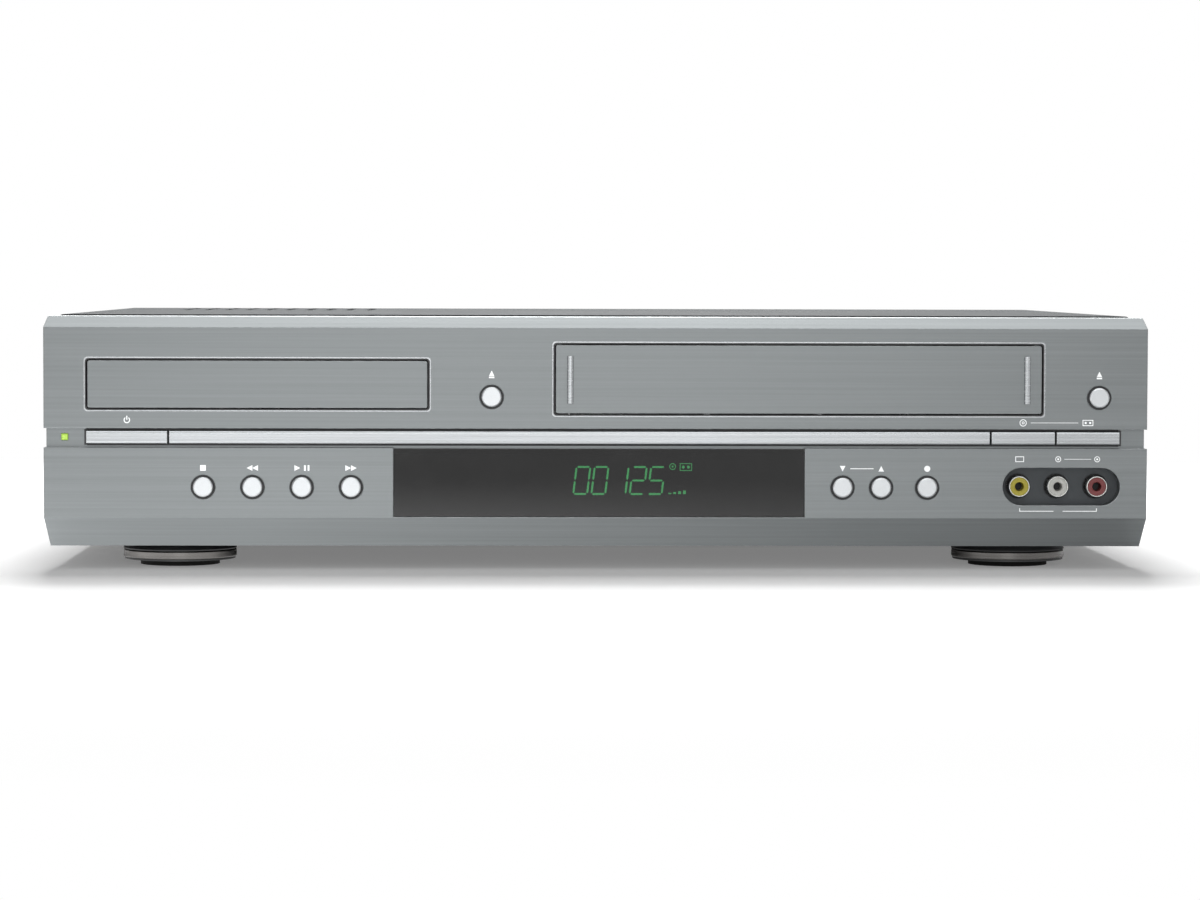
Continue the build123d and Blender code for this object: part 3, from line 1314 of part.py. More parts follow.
with BuildPart() as power_board:
    block(power_board_x, power_board_d, (board_z, board_z + board_thick))
    power_x = sum(power_board_x) / 2
    power_d = sum(power_board_d) / 2
    # Transformer: a winding between the two yokes of its core.
    core_x = (power_x - core_half[0], power_x + core_half[0])
    core_d = (power_d - core_half[1], power_d + core_half[1])
    winding_top = board_top + core_h + winding_h
    block(core_x, core_d, (board_top, board_top + core_h))
    block(core_x, core_d, (winding_top, winding_top + core_h))
    block((power_x - winding_half[0], power_x + winding_half[0]),
          (power_d - winding_half[1], power_d + winding_half[1]), (board_top + core_h, winding_top))
    # Reservoir capacitors and a finned heat sink.
    for capacitor_d, capacitor_r, capacitor_h in capacitors:
        post(power_x - capacitor_left, power_d + capacitor_d, board_top, board_top + capacitor_h, capacitor_r)
    fin_x = power_x + sink_right + sink_thick
    sink_d = (power_d + sink_front, power_d + sink_front + fin_count * fin_pitch - 5)
    block((power_x + sink_right, fin_x), sink_d, (board_top, board_top + sink_h))
    for fin in range(fin_count):
        fin_d = sink_d[0] + 1 + fin * fin_pitch
        block((fin_x, fin_x + fin_l), (fin_d, fin_d + sink_thick), (board_top, board_top + sink_h))
save(power_board, "power_board")

# ------------------------------------------------------------------ tuner, rear sockets and mains inlet
with BuildPart() as tuner_box:
    block(tuner_x, (tuner_front_d, panel_d), tuner_z)
    block(grown(tuner_x, -tuner_neck), (tuner_front_d, panel_d), (board_top, tuner_z[0]))
    chamfer(tuner_box.faces().sort_by(Axis.Z)[-1].edges(), 1.0)
save(tuner_box, "tuner_box")

block_face_d = panel_d + sheet + 0.5
with BuildPart() as rear_jack_block:
    block(rear_block_x, (block_face_d - rear_block_depth, block_face_d), rear_block_z)
    block(grown(rear_block_x, -block_neck), (block_face_d - rear_block_depth, panel_d),
          (board_top, rear_block_z[0]))
save(rear_jack_block, "rear_jack_block")

reach_d = body_depth + socket_reach
with BuildPart() as rear_sockets:
    for column in range(rear_socket_columns):
        for row in range(rear_socket_rows):
            socket_x = sum(rear_block_x) / 2 + (column - (rear_socket_columns - 1) / 2) * rear_socket_pitch
            jack_z = sum(rear_block_z) / 2 + (row - (rear_socket_rows - 1) / 2) * rear_socket_pitch
            front_peg(socket_x, jack_z, block_face_d, reach_d, socket_r)
            front_post(socket_x, jack_z, block_face_d + 1, reach_d + 1, socket_bore_r, Mode.SUBTRACT)
    for x in aerial_x:
        front_peg(x, aerial_z, panel_d, panel_d + aerial_reach + sheet, aerial_r)
        front_post(x, aerial_z, panel_d + 2, panel_d + aerial_reach + 2, socket_bore_r, Mode.SUBTRACT)
save(rear_sockets, "rear_sockets")

with BuildPart() as mains_inlet:
    inlet_body_x = (inlet_x - inlet_w / 2 + seat_play, inlet_x + inlet_w / 2 - seat_play)
    inlet_body_z = (inlet_z - inlet_h / 2 + seat_play, inlet_z + inlet_h / 2 - seat_play)
    inlet_front_d = panel_d - inlet_depth
    block(inlet_body_x, (inlet_front_d, panel_d + sheet), inlet_body_z)
    block(grown(inlet_body_x, inlet_rim_w), (panel_d + sheet, body_depth), grown(inlet_body_z, inlet_rim_h))
    block(grown(inlet_body_x, -inlet_rim_w - 1), (inlet_front_d, panel_d - 2), (board_top, inlet_body_z[0]))
    with BuildSketch(facing(panel_d + sheet - plug_depth)):
        with Locations((inlet_x, inlet_z)):
            Rectangle(plug_w, plug_h)
            chamfer(vertices(), plug_corner)
            for side in (-1, 1):
                with Locations((side * plug_pin_pitch / 2, 0)):
                    Rectangle(plug_pin, plug_pin, mode=Mode.SUBTRACT)
    extrude(amount=-inlet_depth, mode=Mode.SUBTRACT)
save(mains_inlet, "mains_inlet")
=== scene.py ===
import bmesh
import bpy
import json
from math import cos, pi, radians, sin, tau
from mathutils import Matrix, Vector


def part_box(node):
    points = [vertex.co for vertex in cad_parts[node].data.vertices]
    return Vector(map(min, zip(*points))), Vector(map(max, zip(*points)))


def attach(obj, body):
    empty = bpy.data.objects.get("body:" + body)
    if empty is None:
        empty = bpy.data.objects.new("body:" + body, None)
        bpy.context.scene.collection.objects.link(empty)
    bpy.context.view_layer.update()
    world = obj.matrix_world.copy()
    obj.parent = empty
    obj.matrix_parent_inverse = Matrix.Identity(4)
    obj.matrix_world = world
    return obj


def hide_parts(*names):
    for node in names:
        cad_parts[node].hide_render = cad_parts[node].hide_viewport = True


# The looks of a combined disc and video cassette player: finishes for every piece of the
# frame, the printed marks, the lit display, and turned details where the frame is plain.
# Everything is in metres; mm turns a size in millimetres into metres.

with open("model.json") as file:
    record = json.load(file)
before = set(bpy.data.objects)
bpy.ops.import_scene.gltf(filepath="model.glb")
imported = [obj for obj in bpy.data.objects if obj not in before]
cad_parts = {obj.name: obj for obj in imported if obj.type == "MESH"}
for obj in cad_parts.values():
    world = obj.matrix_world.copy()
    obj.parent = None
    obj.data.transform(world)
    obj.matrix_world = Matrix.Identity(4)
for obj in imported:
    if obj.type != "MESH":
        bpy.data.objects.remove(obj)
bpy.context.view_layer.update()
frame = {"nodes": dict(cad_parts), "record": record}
mm = 0.001
front_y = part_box("fascia")[0].y          # the flat front of the fascia


# ==================== small helpers
class Net:
    """A short way to add nodes to one tree and join them."""

    def __init__(self, tree):
        self.tree = tree

    def add(self, kind, settings=None, **inputs):
        """One node. An input is a value, or the socket that feeds it; _ stands for a space."""
        node = self.tree.nodes.new("ShaderNode" + kind)
        for key, value in (settings or {}).items():
            setattr(node, key, value)
        for key, value in inputs.items():
            label = key.replace("_", " ")
            socket = node.inputs[int(label[1:]) if label[0] == "n" and label[1:].isdigit() else label]
            self.fill(socket, value)
        return node

    def fill(self, socket, value):
        """Gives an input its value, or joins it to the socket that feeds it."""
        if isinstance(value, bpy.types.NodeSocket):
            self.tree.links.new(value, socket)
        else:
            socket.default_value = value

    def send(self, inputs, **results):
        """Joins results to the inputs of a shader or of a group's outlet; _ stands for a space."""
        for label, socket in results.items():
            self.tree.links.new(socket, inputs[label.replace("_", " ")])

    def math(self, operation, first, second=0.0, clamp=False):
        """The result of one sum on two numbers."""
        return self.add("Math", {"operation": operation, "use_clamp": clamp}, n0=first, n1=second).outputs[0]

    def vector(self, operation, first, second=(0, 0, 0)):
        """The outputs of one sum on two vectors."""
        return self.add("VectorMath", {"operation": operation}, n0=first, n1=second).outputs

    def spread(self, value, low, high, to_low=0.0, to_high=1.0):
        """A number stretched from one range to another."""
        node = self.add("MapRange", None, Value=value, From_Min=low, From_Max=high,
                        To_Min=to_low, To_Max=to_high)
        return node.outputs[0]

    def mix(self, share, first, second, blend="MIX"):
        """Two colours mixed."""
        node = self.add("Mix", {"data_type": "RGBA", "blend_type": blend}, n0=share)
        self.fill(node.inputs[6], first)
        self.fill(node.inputs[7], second)
        return node.outputs[2]

    def place(self):
        """Where a spot of the surface lies on its object."""
        return self.add("TexCoord").outputs["Object"]

    def noise(self, place, scale, detail=2.0, roughness=0.5):
        """A cloudy pattern."""
        node = self.add("TexNoise", None, Vector=place, Scale=scale, Detail=detail, Roughness=roughness)
        return node.outputs[0]

    def bump(self, height, depth, normal):
        """A normal with a relief of the given depth."""
        return self.add("Bump", None, Strength=1.0, Distance=depth, Height=height, Normal=normal).outputs[0]


def show(made):
    """Puts an object into the scene."""
    bpy.context.scene.collection.objects.link(made)


def effect_group(name, inputs, outputs):
    """A new shader node group with named sockets: its net, inlet and outlet."""
    tree = bpy.data.node_groups.new(name, "ShaderNodeTree")
    kinds = {"number": "NodeSocketFloat", "colour": "NodeSocketColor", "vector": "NodeSocketVector"}
    for label, kind, default in inputs:
        tree.interface.new_socket(label, in_out="INPUT", socket_type=kinds[kind]).default_value = default
    for label, kind in outputs:
        tree.interface.new_socket(label, in_out="OUTPUT", socket_type=kinds[kind])
    inlet = tree.nodes.new("NodeGroupInput").outputs
    outlet = tree.nodes.new("NodeGroupOutput").inputs
    return Net(tree), inlet, outlet


def cleared_net(owner):
    """The emptied net of a material or a world."""
    owner.use_nodes = True
    owner.node_tree.nodes.clear()
    return Net(owner.node_tree)


def rgb(red, green, blue):
    """A colour written as 0 to 255 on screen, as the linear colour that Blender takes."""
    def linear(value):
        share = value / 255
        return share / 12.92 if share <= 0.04045 else ((share + 0.055) / 1.055) ** 2.4
    return (linear(red), linear(green), linear(blue), 1.0)


def darker(tone, share):
    """A tone with its light cut to a share."""
    return tuple(share * part for part in tone[:3]) + (1.0,)


# ==================== shared effects
def surface_group(name, tone_low, tone_high, scale, rough_low, rough_high, depth):
    """The group of an effect that puts out a colour, a roughness and a relief between two tones of grey."""
    return effect_group(
        name,
        [("Tone Low", "colour", (tone_low,) * 3 + (1,)), ("Tone High", "colour", (tone_high,) * 3 + (1,)),
         scale, ("Rough Low", "number", rough_low), ("Rough High", "number", rough_high),
         ("Depth", "number", depth), ("Normal", "vector", (0, 0, 1))],
        [("Colour", "colour"), ("Roughness", "number"), ("Normal", "vector")],
    )


def send_surface(net, inlet, outlet, share, height):
    """Sends out two mixed tones, a roughness and a relief."""
    net.send(outlet, Colour=net.mix(share, inlet["Tone Low"], inlet["Tone High"]),
             Roughness=net.spread(share, 0.0, 1.0, inlet["Rough Low"], inlet["Rough High"]),
             Normal=net.bump(height, inlet["Depth"], inlet["Normal"]))
    return net.tree


def make_edge_wear():
    """Softened edges, and a broken mask where they are rubbed bright."""
    net, inlet, outlet = effect_group(
        "edge_wear",
        [("Radius", "number", 0.0003), ("Amount", "number", 0.5), ("Patch Scale", "number", 300.0)],
        [("Mask", "number"), ("Normal", "vector")],
    )
    bevel = net.add("Bevel", {"samples": 6}, Radius=inlet["Radius"]).outputs[0]
    facing = net.vector("DOT_PRODUCT", bevel, net.add("NewGeometry").outputs["Normal"])["Value"]
    edge = net.spread(facing, 0.99, 0.86)
    broken = net.spread(net.noise(net.place(), inlet["Patch Scale"], 3.0, 0.65), 0.42, 0.62)
    worn = net.math("MULTIPLY", net.math("MULTIPLY", edge, broken), inlet["Amount"], clamp=True)
    net.send(outlet, Mask=worn, Normal=bevel)
    return net.tree


def make_brushed():
    """Fine straight brush lines: two tones, roughness and a shallow relief."""
    stretch = ("Stretch", "vector", (12.0, 900.0, 1500.0))
    net, inlet, outlet = surface_group("brushed_lines", 0.3, 0.4, stretch, 0.3, 0.45, 0.00001)
    place = net.place()
    lines = net.noise(net.vector("MULTIPLY", place, inlet["Stretch"])[0], 1.0, 4.0, 0.6)
    line_share = net.spread(lines, 0.3, 0.7, 0.0, 0.8)
    cloud_share = net.spread(net.noise(place, 9.0), 0.35, 0.65, 0.0, 0.2)
    share = net.math("ADD", line_share, cloud_share, clamp=True)
    return send_surface(net, inlet, outlet, share, lines)


def make_moulded():
    """The fine pitted grain of moulded plastic, rubber or powder coating."""
    scale = ("Grain Scale", "number", 1800.0)
    net, inlet, outlet = surface_group("moulded_grain", 0.02, 0.03, scale, 0.45, 0.6, 0.00003)
    place = net.place()
    pits = net.add("TexVoronoi", {"feature": "SMOOTH_F1"}, Vector=place, Scale=inlet["Grain Scale"])
    fine = net.noise(place, inlet["Grain Scale"])
    cloud_share = net.spread(net.noise(place, 14.0, 4.0, 0.6), 0.3, 0.7, 0.0, 0.6)
    share = net.math("ADD", cloud_share, net.spread(fine, 0.3, 0.7, 0.0, 0.4), clamp=True)
    height = net.math("ADD", pits.outputs["Distance"], net.math("MULTIPLY", fine, 0.5))
    return send_surface(net, inlet, outlet, share, height)


def make_settled_dust():
    """A thin uneven layer of dust on what faces up."""
    net, inlet, outlet = effect_group(
        "settled_dust",
        [("Colour", "colour", (0.1, 0.1, 0.1, 1)), ("Roughness", "number", 0.5), ("Amount", "number", 0.2)],
        [("Colour", "colour"), ("Roughness", "number")],
    )
    up = net.add("SeparateXYZ", None, Vector=net.add("NewGeometry").outputs["Normal"]).outputs["Z"]
    drifts = net.noise(net.place(), 22.0, 6.0, 0.7)
    cover = net.math("MULTIPLY", net.spread(up, 0.5, 1.0), net.spread(drifts, 0.35, 0.75), clamp=True)
    share = net.math("MULTIPLY", cover, inlet["Amount"], clamp=True)
    net.send(outlet, Colour=net.mix(share, inlet["Colour"], rgb(168, 164, 156)),
             Roughness=net.math("ADD", inlet["Roughness"], net.math("MULTIPLY", share, 0.4), clamp=True))
    return net.tree


def make_turned():
    """The rings that a lathe leaves round an upright or a lying axis."""
    net, inlet, outlet = effect_group(
        "turned_rings",
        [("Centre", "vector", (0, 0, 0)), ("Axis Mask", "vector", (1, 1, 0)),
         ("Pitch Scale", "number", 4000.0), ("Rough Low", "number", 0.15), ("Rough High", "number", 0.3),
         ("Depth", "number", 0.000004), ("Normal", "vector", (0, 0, 1))],
        [("Lines", "number"), ("Roughness", "number"), ("Normal", "vector")],
    )
    away = net.vector("SUBTRACT", net.place(), inlet["Centre"])[0]
    radius = net.vector("LENGTH", net.vector("MULTIPLY", away, inlet["Axis Mask"])[0])["Value"]
    rings = net.add("TexNoise", {"noise_dimensions": "1D"}, W=radius, Scale=inlet["Pitch Scale"], Detail=2.0)
    lines = rings.outputs[0]
    net.send(outlet, Lines=lines,
             Roughness=net.spread(lines, 0.3, 0.7, inlet["Rough Low"], inlet["Rough High"]),
             Normal=net.bump(lines, inlet["Depth"], inlet["Normal"]))
    return net.tree


def make_tracks():
    """Copper tracks under the green mask of a circuit board, with tinned pads."""
    net, inlet, outlet = effect_group(
        "board_tracks",
        [("Mask Tone", "colour", (0.01, 0.08, 0.03, 1)), ("Track Tone", "colour", (0.03, 0.16, 0.06, 1)),
         ("Pad Tone", "colour", (0.7, 0.68, 0.6, 1)), ("Cell Scale", "number", 260.0)],
        [("Colour", "colour"), ("Pads", "number"), ("Height", "number")],
    )
    place = net.place()

    def cells(distance, feature):
        settings = {"distance": distance, "feature": feature}
        return net.add("TexVoronoi", settings, Vector=place, Scale=inlet["Cell Scale"]).outputs["Distance"]
    near = cells("MANHATTAN", "F1")
    track = net.spread(net.math("SUBTRACT", cells("CHEBYCHEV", "F2"), near), 0.16, 0.1)
    pads = net.spread(near, 0.2, 0.14)
    masked = net.mix(track, inlet["Mask Tone"], inlet["Track Tone"])
    net.send(outlet, Colour=net.mix(pads, masked, inlet["Pad Tone"]), Pads=pads,
             Height=net.math("ADD", track, pads, clamp=True))
    return net.tree


edge_wear = make_edge_wear()
brushed_lines = make_brushed()
moulded_grain = make_moulded()
settled_dust = make_settled_dust()
turned_rings = make_turned()
board_tracks = make_tracks()


# ==================== finishes
def new_finish(name, **constants):
    """A material with one Principled shader: itself, its net and the shader's inputs."""
    material = bpy.data.materials.new(name)
    material.use_nodes = True
    net = Net(material.node_tree)
    shader = material.node_tree.nodes["Principled BSDF"].inputs
    for key, value in constants.items():
        shader[key.replace("_", " ")].default_value = value
    return material, net, shader


def use(net, tree, **inputs):
    """The outputs of one of the shared effects, placed in a material."""
    return net.add("Group", {"node_tree": tree}, **inputs).outputs


def rubbed_finish(name, effect, tones, rough, worn_tone, edge, wear, patches, depth, dust, constants,
                  **settings):
    """A finish of one shared effect, with rubbed edges and, on flat tops, dust."""
    material, net, shader = new_finish(name, **constants)
    edges = use(net, edge_wear, Radius=edge, Amount=wear, Patch_Scale=patches)
    surface = use(net, effect, Tone_Low=tones[0], Tone_High=tones[1], Rough_Low=rough[0], Rough_High=rough[1],
                  Depth=depth, Normal=edges["Normal"], **settings)
    colour = net.mix(edges["Mask"], surface["Colour"], worn_tone)
    roughness = surface["Roughness"]
    if dust:
        layer = use(net, settled_dust, Colour=colour, Roughness=roughness, Amount=dust)
        colour, roughness = layer["Colour"], layer["Roughness"]
    net.send(shader, Base_Color=colour, Roughness=roughness, Normal=surface["Normal"])
    return material


def brushed_finish(name, low, high, rough, worn_tone, edge=0.25 * mm, wear=0.5, depth=0.006 * mm,
                   stretch=(12.0, 900.0, 1500.0), dust=0.0, **constants):
    """Brush lines: for plated, brushed or painted metal looks."""
    return rubbed_finish(name, brushed_lines, (low, high), rough, worn_tone, edge, wear, 350.0, depth, dust,
                         constants, Stretch=stretch)


def moulded_finish(name, low, high, rough, worn_tone, edge=0.25 * mm, wear=0.35, grain=1800.0,
                   depth=0.02 * mm, dust=0.0, **constants):
    """Pitted grain: for moulded plastic, rubber and powder coating."""
    return rubbed_finish(name, moulded_grain, (low, high), rough, worn_tone, edge, wear, 500.0, depth, dust,
                         constants, Grain_Scale=grain)


def turned_finish(name, tone, worn_tone, centre):
    """Bright metal with lathe rings round an upright axis."""
    material, net, shader = new_finish(name, Metallic=1.0)
    edges = use(net, edge_wear, Radius=0.2 * mm, Amount=0.4, Patch_Scale=400.0)
    rings = use(net, turned_rings, Centre=centre, Axis_Mask=(1, 1, 0), Rough_Low=0.12, Rough_High=0.28,
                Normal=edges["Normal"])
    colour = net.mix(rings["Lines"], darker(tone, 0.82), tone)
    colour = net.mix(edges["Mask"], colour, worn_tone)
    net.send(shader, Base_Color=colour, Roughness=rings["Roughness"], Normal=rings["Normal"])
    return material


def fascia_silver():
    """The satin silver paint of the front, with a fine sideways grain."""
    return brushed_finish("fascia_silver", rgb(113, 117, 118), rgb(124, 128, 129), (0.3, 0.42),
                          rgb(206, 209, 211), edge=0.5 * mm, wear=0.35, depth=0.004 * mm,
                          stretch=(7.0, 300.0, 1100.0), Metallic=0.75, Specular_IOR_Level=0.5)


def bright_silver():
    """The brighter silver of the trim bar, the bar keys and the flap trims; round the doors it paints a
    highlight rim.
    """
    return brushed_finish("bright_silver", rgb(156, 159, 161), rgb(172, 175, 177), (0.2, 0.3),
                          rgb(238, 239, 240), edge=0.3 * mm, wear=0.3, depth=0.003 * mm,
                          stretch=(9.0, 400.0, 1200.0), Metallic=0.85)


def key_silver():
    """The silver caps of the round keys, polished by use."""
    material, net, shader = new_finish("key_silver", Metallic=0.7, Coat_Weight=0.35, Coat_Roughness=0.12)
    edges = use(net, edge_wear, Radius=0.35 * mm, Amount=0.4, Patch_Scale=900.0)
    grain = use(net, moulded_grain, Tone_Low=rgb(186, 189, 191), Tone_High=rgb(200, 203, 205),
                Grain_Scale=2600.0, Rough_Low=0.28, Rough_High=0.4, Depth=0.008 * mm, Normal=edges["Normal"])
    colour = net.mix(edges["Mask"], grain["Colour"], rgb(236, 237, 238))
    net.send(shader, Base_Color=colour, Roughness=grain["Roughness"], Normal=grain["Normal"])
    return material


def smoke_window():
    """The smoked window: dark clear plastic with faint wiping marks."""
    material, net, shader = new_finish("smoke_window", Transmission_Weight=1.0, IOR=1.49,
                                       Specular_IOR_Level=0.1)
    edges = use(net, edge_wear, Radius=0.3 * mm, Amount=0.2, Patch_Scale=300.0)
    haze = net.noise(net.place(), 30.0, 5.0, 0.7)
    colour = net.mix(net.spread(haze, 0.35, 0.7), rgb(46, 47, 48), rgb(51, 52, 53))
    roughness = net.spread(haze, 0.35, 0.7, 0.03, 0.09)
    net.send(shader, Base_Color=colour, Roughness=roughness, Normal=edges["Normal"])
    return material


def display_glass():
    """The dark glass and grey back plate of the display tube."""
    return moulded_finish("display_glass", rgb(26, 29, 28), rgb(33, 36, 35), (0.16, 0.24), rgb(70, 74, 72),
                          grain=700.0, depth=0.0002 * mm, wear=0.1, Specular_IOR_Level=0.3)


def lit_green(name, strength, tone):
    """A lit green lens or segment, faintly clouded."""
    material, net, shader = new_finish(name, Roughness=0.35, Emission_Strength=strength)
    grain = net.noise(net.place(), 2200.0)
    glow = net.mix(net.spread(grain, 0.3, 0.7), darker(tone, 0.75), tone)
    net.send(shader, Base_Color=glow, Emission_Color=glow)
    return material


def recess_grey():
    """The dark grey plate round the front sockets."""
    return moulded_finish("recess_grey", rgb(58, 63, 67), rgb(70, 75, 79), (0.4, 0.55), rgb(110, 114, 118),
                          grain=2400.0)


def socket_insert(name, tone):
    """The coloured insert of a socket, slightly shiny."""
    return moulded_finish(name, darker(tone, 0.8), tone, (0.25, 0.4), rgb(235, 232, 222), wear=0.2,
                          grain=2600.0, depth=0.006 * mm)


def cover_grey():
    """The powder coated steel cover."""
    return moulded_finish("cover_grey", rgb(50, 53, 55), rgb(61, 64, 66), (0.62, 0.74), rgb(150, 152, 152),
                          edge=0.5 * mm, wear=0.45, grain=1500.0, depth=0.03 * mm, dust=0.05,
                          Specular_IOR_Level=0.04)


def zinc_steel():
    """Zinc plated sheet steel, with its cloudy spangle."""
    material = brushed_finish("zinc_steel", rgb(142, 144, 143), rgb(164, 166, 164), (0.3, 0.45),
                              rgb(206, 207, 205), wear=0.4, depth=0.003 * mm, stretch=(160.0, 160.0, 160.0),
                              dust=0.07, Metallic=1.0)
    net = Net(material.node_tree)
    shader = material.node_tree.nodes["Principled BSDF"].inputs
    base = shader["Base Color"].links[0].from_socket
    spangle = net.add("TexVoronoi", {"feature": "F1"}, Vector=net.place(), Scale=170.0).outputs["Color"]
    value = net.add("SeparateColor", None, Color=spangle).outputs[0]
    tint = net.mix(value, rgb(232, 234, 233), rgb(252, 252, 252))
    net.send(shader, Base_Color=net.mix(1.0, base, tint, "MULTIPLY"))
    return material


def plated_steel():
    """Bright plated steel of rods, shafts, barrels and small frames."""
    return brushed_finish("plated_steel", rgb(176, 177, 175), rgb(205, 206, 203), (0.15, 0.3),
                          rgb(235, 235, 232), depth=0.002 * mm, stretch=(700.0, 90.0, 900.0), Metallic=1.0)


def screw_black():
    """Blackened screws with bright rubbed edges."""
    return brushed_finish("screw_black", rgb(34, 34, 35), rgb(50, 50, 51), (0.3, 0.45), rgb(150, 150, 150),
                          edge=0.2 * mm, wear=0.8, Metallic=0.9)


def foot_band():
    """The silver band round a foot."""
    return brushed_finish("foot_band", rgb(86, 84, 82), rgb(112, 110, 108), (0.18, 0.3), rgb(196, 196, 195),
                          wear=0.3, depth=0.003 * mm, stretch=(20.0, 20.0, 1500.0), Metallic=0.9)


def foot_plastic():
    """The dark moulded body of a foot."""
    return moulded_finish("foot_plastic", rgb(40, 41, 42), rgb(54, 55, 56), (0.3, 0.45), rgb(110, 110, 110),
                          grain=1600.0)


def pad_rubber():
    """The rubber of the foot pads."""
    return moulded_finish("pad_rubber", rgb(26, 26, 26), rgb(38, 37, 36), (0.75, 0.95), rgb(80, 80, 78),
                          wear=0.3, grain=1200.0, depth=0.05 * mm, Specular_IOR_Level=0.25)


def circuit_board():
    """Green boards with tracks and tinned pads."""
    material, net, shader = new_finish("circuit_board", Roughness=0.35, Coat_Weight=0.3, Coat_Roughness=0.2)
    edges = use(net, edge_wear, Radius=0.15 * mm, Amount=0.3, Patch_Scale=300.0)
    tracks = use(net, board_tracks, Cell_Scale=230.0)
    colour = net.mix(edges["Mask"], tracks["Colour"], rgb(186, 182, 140))
    bump = net.bump(tracks["Height"], 0.03 * mm, edges["Normal"])
    roughness = net.spread(tracks["Pads"], 0.0, 1.0, 0.38, 0.22)
    net.send(shader, Base_Color=colour, Roughness=roughness, Normal=bump, Metallic=tracks["Pads"])
    return material


def black_plastic():
    """Black moulded plastic of frames, reels and sockets; it also paints the shade in the gaps round the
    doors, the bars and the round keys.
    """
    return moulded_finish("black_plastic", rgb(34, 34, 36), rgb(48, 48, 50), (0.42, 0.58), rgb(96, 96, 98),
                          grain=1500.0, dust=0.06)


def tray_plastic():
    """The smoother dark plastic of the disc tray."""
    return moulded_finish("tray_plastic", rgb(52, 53, 55), rgb(64, 65, 67), (0.32, 0.46), rgb(120, 121, 124),
                          edge=0.4 * mm, grain=2200.0, depth=0.012 * mm)


def gear_white():
    """Natural white gear plastic, faintly yellow."""
    return moulded_finish("gear_white", rgb(204, 198, 178), rgb(228, 224, 210), (0.3, 0.5),
                          rgb(240, 238, 228), edge=0.15 * mm, grain=900.0, depth=0.008 * mm,
                          Subsurface_Weight=0.1)


def roller_rubber():
    """The ground rubber of the pinch roller."""
    return moulded_finish("roller_rubber", rgb(30, 30, 31), rgb(44, 43, 43), (0.6, 0.8), rgb(84, 84, 84),
                          grain=2600.0)


def print_white():
    """White pad printing ink with a slight sheen."""
    return moulded_finish("print_white", rgb(232, 235, 236), rgb(248, 249, 249), (0.45, 0.6),
                          rgb(220, 222, 223), edge=0.03 * mm, wear=0.2, grain=4000.0, depth=0.004 * mm,
                          Metallic=0.7)


finish = {maker.__name__: maker() for maker in (
    fascia_silver, bright_silver, key_silver, smoke_window, display_glass, recess_grey, cover_grey,
    zinc_steel, screw_black, foot_plastic, pad_rubber, circuit_board, black_plastic, tray_plastic,
    gear_white, plated_steel, roller_rubber, foot_band, print_white)}
finish["lamp"] = lit_green("lamp", 0.42, (0.6, 0.92, 0.14, 1.0))
finish["segment_green"] = lit_green("segment_green", 11.0, (0.12, 0.85, 0.25, 1.0))
for name, tone in (("yellow", rgb(200, 184, 52)), ("white", rgb(226, 226, 220)), ("red", rgb(134, 54, 54))):
    finish["socket_" + name] = socket_insert("socket_" + name, tone)


def middle(node):
    """The middle of a node's box."""
    low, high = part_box(node)
    return (low + high) / 2


def dress_nodes():
    """Gives every node its finish; a machined one gets lathe rings round its own middle."""
    for part in frame["record"]["subparts"]:
        node, slot = part["node"], part["material_slot"]
        if slot == "machined_metal":
            material = turned_finish(node + "_metal", rgb(212, 214, 216), rgb(244, 245, 246), middle(node))
        else:
            material = finish[slot]
        mesh = frame["nodes"][node].data
        mesh.materials.clear()
        mesh.materials.append(material)


dress_nodes()


# ==================== mesh helpers
on_axis = 0.001 * mm                      # a radius that closes a turned form at its axis


def new_object(name, draw):
    """A new object in the scene, from what draw puts into an empty mesh."""
    bm = bmesh.new()
    draw(bm)
    mesh = bpy.data.meshes.new(name)
    bm.to_mesh(mesh)
    bm.free()
    made = bpy.data.objects.new(name, mesh)
    show(made)
    return made


def piece(name, draw, look, slot=None, replaced=None, body="chassis"):
    """A new piece in one of the finishes, riding on a body; it may stand in for a frame node."""
    def draw_outward(bm):
        draw(bm)
        bmesh.ops.recalc_face_normals(bm, faces=bm.faces)
    made = new_object(name, draw_outward)
    made.data.materials.append(finish[look])
    slot = slot or look
    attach(made, body)
    if replaced:
        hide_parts(replaced)
    return made


def raise_outline(bm, outline, y_back, thick):
    """A closed flat shape seen from the front, raised towards the viewer."""
    back = [bm.verts.new((x, y_back, z)) for x, z in outline]
    fore = [bm.verts.new((x, y_back - thick, z)) for x, z in outline]
    count = len(outline)
    bm.faces.new(fore)
    bm.faces.new(list(reversed(back)))
    for step in range(count):
        after = (step + 1) % count
        bm.faces.new((fore[step], back[step], back[after], fore[after]))


def raise_band(bm, outer, inner, y_back, thick, closed=True):
    """A band between two outlines with as many points each."""
    count = len(outer)
    y_fore = y_back - thick
    rows = [[bm.verts.new((x, y, z)) for x, z in line]
            for line, y in ((outer, y_back), (inner, y_back), (inner, y_fore), (outer, y_fore))]
    for step in range(count if closed else count - 1):
        after = (step + 1) % count
        for row in range(4):
            above = (row + 1) % 4
            bm.faces.new((rows[row][step], rows[row][after], rows[above][after], rows[above][step]))
    if not closed:
        bm.faces.new([row[0] for row in rows])
        bm.faces.new([row[-1] for row in reversed(rows)])


def arc_points(x, z, radius, start=0.0, end=360.0, count=24):
    """Points on an arc, angles in degrees from +X towards +Z. A full turn leaves out the last point."""
    full = abs(end - start) >= 360
    steps = count if full else count - 1
    angles = [radians(start + (end - start) * step / steps) for step in range(count)]
    return [(x + radius * cos(a), z + radius * sin(a)) for a in angles]


def bar_points(x_low, x_high, z_low, z_high):
    """The four corners of an upright rectangle."""
    return [(x_low, z_low), (x_high, z_low), (x_high, z_high), (x_low, z_high)]


